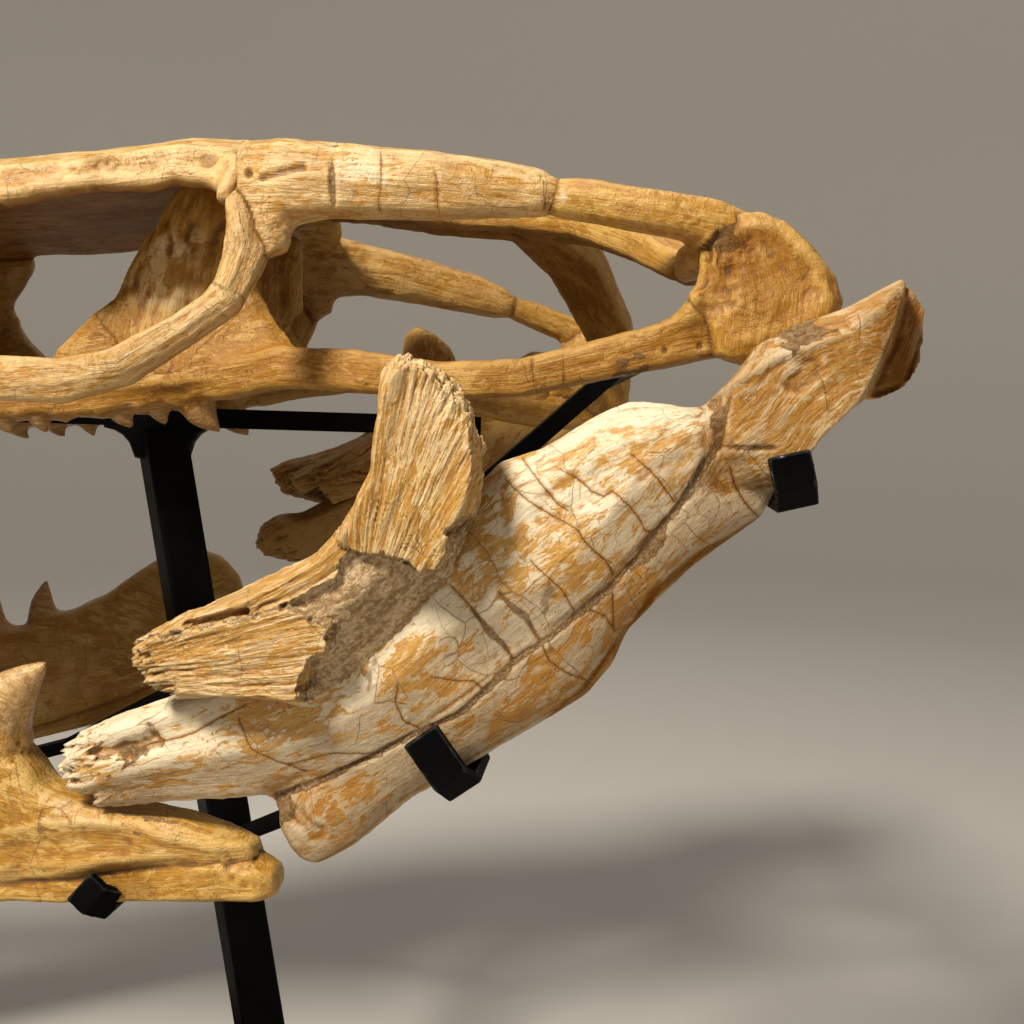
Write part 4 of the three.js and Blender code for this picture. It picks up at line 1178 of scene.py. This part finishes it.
def skin_of(mesh, name, members, side, teeth):
    """What each point of a piece's surface is: its bone, fibres, finish with its painted shade, and
    enamel.
    """
    edges = edges_of(mesh)
    skin = SimpleNamespace(mesh=mesh, name=name, members=members, side=side, edges=edges)
    skin.points = relaxed(points_of(mesh), skin.edges, 2)
    put_points(mesh, skin.points)
    skin.normals = normals_of(mesh)
    skin.which, skin.margin = nearest_bone(skin.points, members)
    skin.grain, finish = np.zeros_like(skin.points), np.zeros((len(skin.points), 7))
    for row, member in enumerate(members):
        own, (kind, half) = skin.which == row, parted(member)
        if own.any():
            skin.grain[own], finish[own] = grain_of(kind, half, skin.points[own]), FINISH[kind]
        # The far side's bones take the warm palette and painted shade, as they lie in shadow.
        if member.endswith("right"):
            finish[own, WARM] = np.maximum(finish[own, WARM], 0.9)
            finish[own, SHADE] = np.maximum(finish[own, SHADE], FAR_SHADE.get(kind, 0.35))
    if name.startswith("coronoid"):
        coronoid_grain(skin.points, side, skin.grain)
    # Painted shade on the downward-facing surfaces of the roof and snout above the palate.
    inner = ramp(-skin.normals[:, 2], 0.1, 0.6) * (skin.points[:, 2] > PALATE)
    inner *= np.isin(skin.which, DARK_INSIDE.get(name, ()))
    finish[:, SHADE] = np.maximum(finish[:, SHADE], 0.85 * inner)
    for _ in range(8):
        finish = average(finish, skin.edges)
    skin.finish = finish.T.copy()
    skin.stain, skin.warm, skin.shade = skin.finish[[STAIN, WARM, SHADE]]

    skin.enamel = np.zeros(len(skin.points))
    for base, tip, radius in teeth:
        reach, away, length = from_tooth(skin.points, base, tip)
        near = away < radius * TOOTH_GIRTH
        skin.enamel[near] = np.maximum(skin.enamel[near], ramp(reach[near] / length, 0.2, 0.27))
    skin.bare = 1 - skin.enamel
    return skin


def weather(skin):
    """Sets the relief of fibres, flutes and flakes, and the noise that the looks follow."""
    points, grain = skin.points, skin.grain
    skin.mottle, skin.lumps = fractal(points / 7.5), fractal(points / 27)
    fibre = fractal(grain / (60, 3.6, 3.6), 3, 0.55)
    coarse = fractal(grain / (90, 8.5, 8.5) + 31)
    flakes = ramp(fractal(grain / (38, 11, 11) + 7, 3, 0.6), 0.02, 0.16)
    lies = grain + drift(points / 16, (4.4, 8.1, 17.9)) * 0.9
    flutes = ramp(np.abs(noise(lies / (70, 40, 2.7) + 5)), 0.34, 0)
    flutes += 0.6 * ramp(np.abs(noise(lies / (50, 30, 1.5) + 9)), 0.30, 0)
    flutes *= 0.35 + 0.9 * ramp(noise(points / 15 + 77), -0.3, 0.5)
    depth = skin.finish[FIBRE] * (0.7 * fibre + 1.1 * coarse) + skin.finish[LUMP] * skin.lumps
    depth += 0.12 * skin.mottle + 0.10 * fractal(points / 3.3 + 19)
    depth -= skin.finish[FLAKE] * flakes + 0.5 * ramp(skin.finish[FIBRE], 0.35, 0.6) * flutes
    skin.height = skin.bare * depth

    skin.bend = drift(points / 34, (3.1, 9.7, 21.3)) * 3.5
    skin.bend += drift(points / 6.5, (5.2, 11.4, 31.9), 1) * 0.45
    _, skin.block = cells((grain + skin.bend) / (24, 11, 11))
    skin.amount = 0.44 + 0.17 * fractal(grain / (42, 28, 28) + 3, 3, 0.6) + 0.17 * (skin.block - 0.5)
    skin.tone = ramp(fractal(points / 42 + 41, 3, 0.6), -0.35, 0.35)
    skin.craze = 0.50 - 0.08 * skin.warm + 0.35 * fractal(points / 24 + 53)
    skin.pores = ramp(noise(points / 30 + 61), 0.05, 0.4)
    skin.rugged = ramp(fractal(points / 22 + 71, 3, 0.6), 0.12, 0.42) * np.clip(0.15 + skin.warm, 0, 1)
    skin.rift, skin.rift_on = np.full(len(points), 9.0), np.zeros(len(points))
    skin.fill, skin.clay = np.full(len(points), -3.0), np.full(len(points), 0.15)


def sutures(skin):
    """Seams between the bones of a piece: matrix in the near jaw, and cracks elsewhere."""
    apart = np.abs(skin.margin)
    if skin.name in SIDE_MARKS:
        skin.fill = 1.0 - apart
    else:
        skin.rift, skin.rift_on = np.clip(skin.margin, -9, 9), 0.45 * ramp(apart, 5, 3)
    skin.height -= 0.5 * ramp(apart, 1.8, 0.3) * skin.bare


def jaw_face(skin, half):
    """Paler over the crest and darker under it on the near jaw's plate: painted light and painted shade.
    Returns how squarely each point is on the outer face.
    """
    if skin.name == "jaw_left":
        local = to_jaw(skin.side, half, skin.points)
        over = ramp(local[:, 2] - np.interp(local[:, 0], *zip(*CREST)) + 2.5 * skin.lumps, -3, 3)
        plate = local[:, 0] < PLATE_END
        # Painted light over the crest and painted shade under it.
        skin.tone = np.where(plate, 0.45 * skin.tone + 0.55 * over, skin.tone)
        skin.shade += 0.30 * (1 - over) * plate
    outer = ramp(jaw_facing(skin.side, half, skin.normals), 0.0, 0.35)
    skin.fill = np.where(outer > 0.3, -3.0, skin.fill)
    return outer


def coronoid_bed(skin):
    """Matrix, rough and strawy, wherever the coronoid's three forms leave its face bare. Its pale straw
    colour is partly painted light, lifting the bed that lies in shade.
    """
    skin.clay += 0.85
    (process, leaf, strip), _ = coronoid_forms(skin.points, skin.side)
    bed = -np.maximum(np.maximum(process, leaf), strip)
    outside = to_jaw(skin.side, "rear", skin.points)[:, 1] > 17
    outside &= jaw_facing(skin.side, "rear", skin.normals) > -0.9
    skin.fill = np.where(outside, bed, skin.fill)
    skin.height *= ramp(skin.fill, 1.0, 0.0)
    straw = ramp(np.abs(noise(skin.points / 1.9 + 3)), 0.35, 0) + 0.6 * skin.lumps
    skin.height += (0.35 * straw + 0.5 * skin.mottle) * ramp(skin.fill, 0, 1)
    skin.rugged *= 0.4


def press_line(skin, kind, at, facing, own, mask, where, width, depth):
    """Presses a crack, seam, groove, ridge or hollow in along a line, or paints shade along an edge; a
    ridge is also painted paler, as a highlight.
    """
    gap, near_end = signed_distance(at, facing, where)
    away, on = np.abs(gap), ramp(near_end, -1.5, 2)
    line = ramp(away, width + 0.8, width * 0.3) * on
    # An edge mark adds painted shade along a line and leaves the height alone.
    if kind == "edge":
        skin.shade += depth * line
        return
    if kind == "crack":
        depth = 0.45 * depth
        closer = (away < np.abs(skin.rift)) & (near_end > -1)
        skin.rift[closer] = gap[closer]
        skin.rift_on = np.maximum(skin.rift_on * ~closer, on * ramp(away, 5, 3) * mask)
    if kind == "wide":
        taper = ramp(near_end, -1, 16) * (0.7 + 0.7 * skin.lumps) + 0.25
        inside = width * (taper + 0.5 * skin.mottle) - away - 3 * (1 - on)
        skin.fill = np.maximum(skin.fill, np.where(mask > 0.3, inside, -3))
    if kind == "ridge":
        # Paler along the ridge: a painted highlight on its crest.
        skin.stain -= 1.2 * own * ramp(away, width * 2, width * 0.5)
        line = -ramp(away, width * 2.2, 0) * ramp(near_end, -2, 18)
    if kind == "hollow":
        line, mask = ramp(away + 1.5 * skin.mottle, width, width * 0.35), own
    skin.height -= depth * line * mask


def press_patch(skin, kind, at, own, where, width, depth):
    """Stains, roughens or fills a patch, or paints shade on it."""
    away = line_distance(at, where)
    wide = own * ramp(away + 7 * skin.lumps + 3 * skin.mottle, width * 1.15, width * 0.5)
    if kind == "ochre":
        skin.stain += 0.62 * depth * wide
    elif kind == "pale":
        skin.stain -= 1.1 * depth * wide
        skin.warm -= 0.5 * depth * wide
    # A dark patch is painted shade; with a negative strength it takes painted shade away.
    elif kind == "dark":
        skin.shade += depth * wide
    elif kind == "net":
        skin.craze += 0.3 * depth * wide
    elif kind == "soil":
        inside = width - (away + 5 * skin.mottle + 9 * skin.lumps + 9 * (skin.block - 0.5))
        skin.fill = np.maximum(skin.fill, np.where(own > 0.3, inside, -3))
        skin.height += own * ramp(inside, -1, 2) * (0.3 + 0.35 * depth * fractal(skin.points / 3.4))
    elif kind == "fold":
        folds = noise(skin.grain / (17, 7.5, 7.5) + 3 + 0.35 * skin.lumps[:, None])
        skin.height += 1.9 * depth * wide * folds
    elif kind == "rough":
        skin.height += 0.6 * depth * wide * fractal(skin.points / 4.2)
        skin.rugged = np.maximum(skin.rugged, 0.45 * wide)
    elif kind == "sponge":
        pit, _ = cells(skin.points / 4.2)
        skin.height -= wide * (2.2 * ramp(pit, 0.45, 0.12) - 0.3)
        skin.stain -= 0.5 * wide


def as_line(where):
    """A mark's place as a line in space; (along, up) pairs lie in the jaw's plane."""
    line = np.atleast_2d(np.array(where, float))
    if line.shape[1] == 2:
        line = np.insert(line, 1, 0, axis=1)
    return line if len(line) > 1 else np.repeat(line, 2, axis=0)


def press_marks(skin, marks, at, facing, own, mask):
    """Presses a table of marks in: lines as strong as mask says, hollows and patches as own."""
    for kind, rows in marks.items():
        for where, width, depth in rows:
            if kind in LINE_MARKS:
                press_line(skin, kind, at, facing, own, mask, as_line(where), width, depth)
            else:
                press_patch(skin, kind, at, own, as_line(where), width, depth)


def mark(skin):
    """Everything that age and breakage have done to the surface, short of broken ends."""
    loose = skin.points + skin.bend * 0.35
    if len(skin.members) > 1:
        sutures(skin)
    if skin.name.startswith("coronoid"):
        coronoid_bed(skin)
    if skin.name in SIDE_MARKS:
        half, marks = SIDE_MARKS[skin.name]
        outer = jaw_face(skin, half)
        out = np.tile((0.0, 1.0, 0.0), (len(loose), 1))
        press_marks(skin, marks, to_jaw(skin.side, half, loose) * (1, 0, 1), out, outer, outer)
    for row, member in enumerate(skin.members):
        press_marks(skin, MARKS.get(member, {}), loose, skin.normals, skin.which == row, 1)
    skin.points = skin.points + skin.normals * skin.height[:, None]


def break_ends(skin):
    """Splinters where a bone broke across its fibres."""
    for member, end, way, back, depth in BREAKS:
        if member in skin.members:
            way = np.array(way, float) / np.linalg.norm(way)
            off = skin.points - end
            ahead = off @ way
            own = (skin.which == skin.members.index(member)) & (np.linalg.norm(off, axis=1) < 60)
            tooth = fractal((skin.points - ahead[:, None] * way) / 4.5, 3, 0.7) * depth
            skin.points += (own * ramp(ahead, -back, 0) * tooth)[:, None] * way
            skin.stain -= 0.3 * own * ramp(ahead, -back * 0.6, 0)


def write_attributes(skin, voxel):
    """Leaves on the mesh what the bone material reads."""
    relief = standing_out(skin.mesh, skin.points, skin.edges, 4) / max(0.2 * voxel, 0.26)
    everywhere = {
        "grain": skin.grain * MM, "web": (skin.grain + skin.bend) * MM, "place": skin.points * MM,
        "amount": skin.amount + 0.16 * skin.stain, "tone": skin.tone, "warm": np.clip(skin.warm, 0, 1),
        "shade": np.clip(skin.shade, 0, 1), "clay": skin.clay, "rift": np.clip(skin.rift, -9, 9),
        "fill": np.clip(skin.fill, -3, 3) * skin.bare - 3 * skin.enamel, "enamel": skin.enamel,
        "lustre": skin.finish[LUSTRE],
    }
    off_the_teeth = {
        "relief": relief, "craze": skin.craze, "pores": skin.pores, "rugged": skin.rugged,
        "flute": skin.finish[FIBRE], "rift_on": skin.rift_on,
    }
    for key, values in everywhere.items():
        attribute(skin.mesh, key, values)
    for key, values in off_the_teeth.items():
        attribute(skin.mesh, key, values * skin.bare)


def make_bones(name, members, voxel, close, rounds, slot):
    """One finished piece for a set of bones that matrix holds together."""
    side = "right" if name.endswith("right") else "left"
    teeth = [tooth for member in members for tooth in teeth_of(*parted(member))]
    piece = blank(name, members, close, rounds)
    if name in CARVED:
        piece = remeshed(piece, voxel * 1.1)
        mesh = piece.data
        put_points(mesh, CARVED[name](points_of(mesh), normals_of(mesh), side))
    piece = remeshed(set_teeth(piece, teeth), voxel)
    skin = skin_of(piece.data, name, members, side, teeth)
    weather(skin)
    mark(skin)
    break_ends(skin)
    skin.points = relaxed(skin.points, skin.edges, 1, pull=0.2, push=-0.15)
    put_points(skin.mesh, skin.points)
    write_attributes(skin, voxel)
    dressed(piece, bone, True, members)


def sides(side, *kinds):
    return [kind + "_" + side for kind in kinds]


REAR_JAW = ("surangular", "angular", "articular")
CHEEK = ("postorbitofrontal", "jugal", "squamosal", "quadrate", "pterygoid")
# Piece, its bones, voxel, half the width of the joints that are filled, rounds of smoothing, slot.
PIECES = [
    ("jaw_left", sides("left", *REAR_JAW), 1.2, 5.0, 6, "cream_bone"),
    ("coronoid_left", ["coronoid_left"], 0.75, 0, 6, "cream_bone"),
    ("cheek_left", sides("left", *CHEEK), 1.3, 3.5, 10, "ochre_bone"),
    ("front_jaw_left", sides("left", "dentary", "splenial"), 1.7, 2.0, 8, "ochre_bone"),
    ("roof", ["frontal", "prefrontal_left", "prefrontal_right", "parietal"], 1.9, 3.0, 10, "ochre_bone"),
    ("snout", ["premaxilla", "maxilla_left", "maxilla_right", "vomer", "palatine_left",
               "palatine_right"], 2.0, 3.0, 10, "ochre_bone"),
    ("cheek_right", sides("right", *CHEEK), 1.7, 3.5, 10, "ochre_bone"),
    ("jaw_right", sides("right", *REAR_JAW), 1.8, 3.0, 8, "cream_bone"),
    ("coronoid_right", ["coronoid_right"], 1.3, 0, 6, "cream_bone"),
    ("front_jaw_right", sides("right", "dentary", "splenial"), 2.2, 2.0, 8, "ochre_bone"),
]
bone = bone_material("fossil_bone")
for row in PIECES:
    make_bones(*row)

# ------------------------------------------------------------------ stand

POST_HEAD = (63, 0, 515)
# The weld between post and spine, (along, up) from the post's head.
WELD = [(-33, 3), (-33, 0.5), (-27, -1), (-22, -4), (-18, -9), (-15, -18), (0, -22), (17, -18), (20, -9),
        (24, -4), (29, -1), (34, 0.5), (34, 3)]
ARRIS = {"stand_base": 1.2, "stand_post": 2.6}  # rounding of the edges; 0.7 elsewhere


def weld_bead(at, outline, half):
    """A gusset of weld metal, bulging in the middle."""
    rows = [(-half, 0.93), (-half * 0.6, 1), (half * 0.6, 1), (half, 0.93)]
    points = [(at[0] + x * s, at[1] + y, at[2] + z * s) for y, s in rows for x, z in outline]
    many = len(outline)
    faces = []
    for start in range(0, len(points) - many, many):
        for k in range(many):
            a, b = start + k, start + (k + 1) % many
            faces.append((a, b, b + many, a + many))
    faces += [tuple(range(many))[::-1], tuple(range(len(points) - many, len(points)))]
    return new_object("weld", mesh_from("weld", points, faces))


def make_steel(name):
    """A stand piece with its arrises rounded."""
    piece = new_object("steel_" + name[len("stand_"):], NODES[name].data.copy())
    piece.matrix_world = NODES[name].matrix_world
    weld = piece.modifiers.new("weld", "WELD")
    weld.merge_threshold = 0.02 * MM
    flat = piece.modifiers.new("flat", "DECIMATE")
    flat.decimate_type, flat.angle_limit = "DISSOLVE", math.radians(1.5)
    soft = piece.modifiers.new("soft", "BEVEL")
    soft.width, soft.segments = ARRIS.get(name, 0.7) * MM, 3
    soft.limit_method, soft.angle_limit = "ANGLE", math.radians(32)
    evaluated(piece)
    if name == "stand_post":
        piece = joined([piece, weld_bead(POST_HEAD, WELD, 8)])
    rounded = "clip" in name
    if rounded:
        mesh = remeshed(piece, 0.9).data
        edges = edges_of(mesh)
        points = relaxed(points_of(mesh), edges, 14)
        put_points(mesh, points)
        wear = 0.25 + 0.6 * ramp(standing_out(mesh, points, edges, 6), 0.05, 0.5)
    else:
        mesh = piece.data
        wear = np.full(len(mesh.vertices), 0.35)
    attribute(mesh, "place", points_of(mesh) * MM)
    attribute(mesh, "wear", wear)
    dressed(piece, black, rounded, [name])


black = steel_material("black_steel")
for name in sorted(NODES):
    if name.startswith("stand_"):
        make_steel(name)
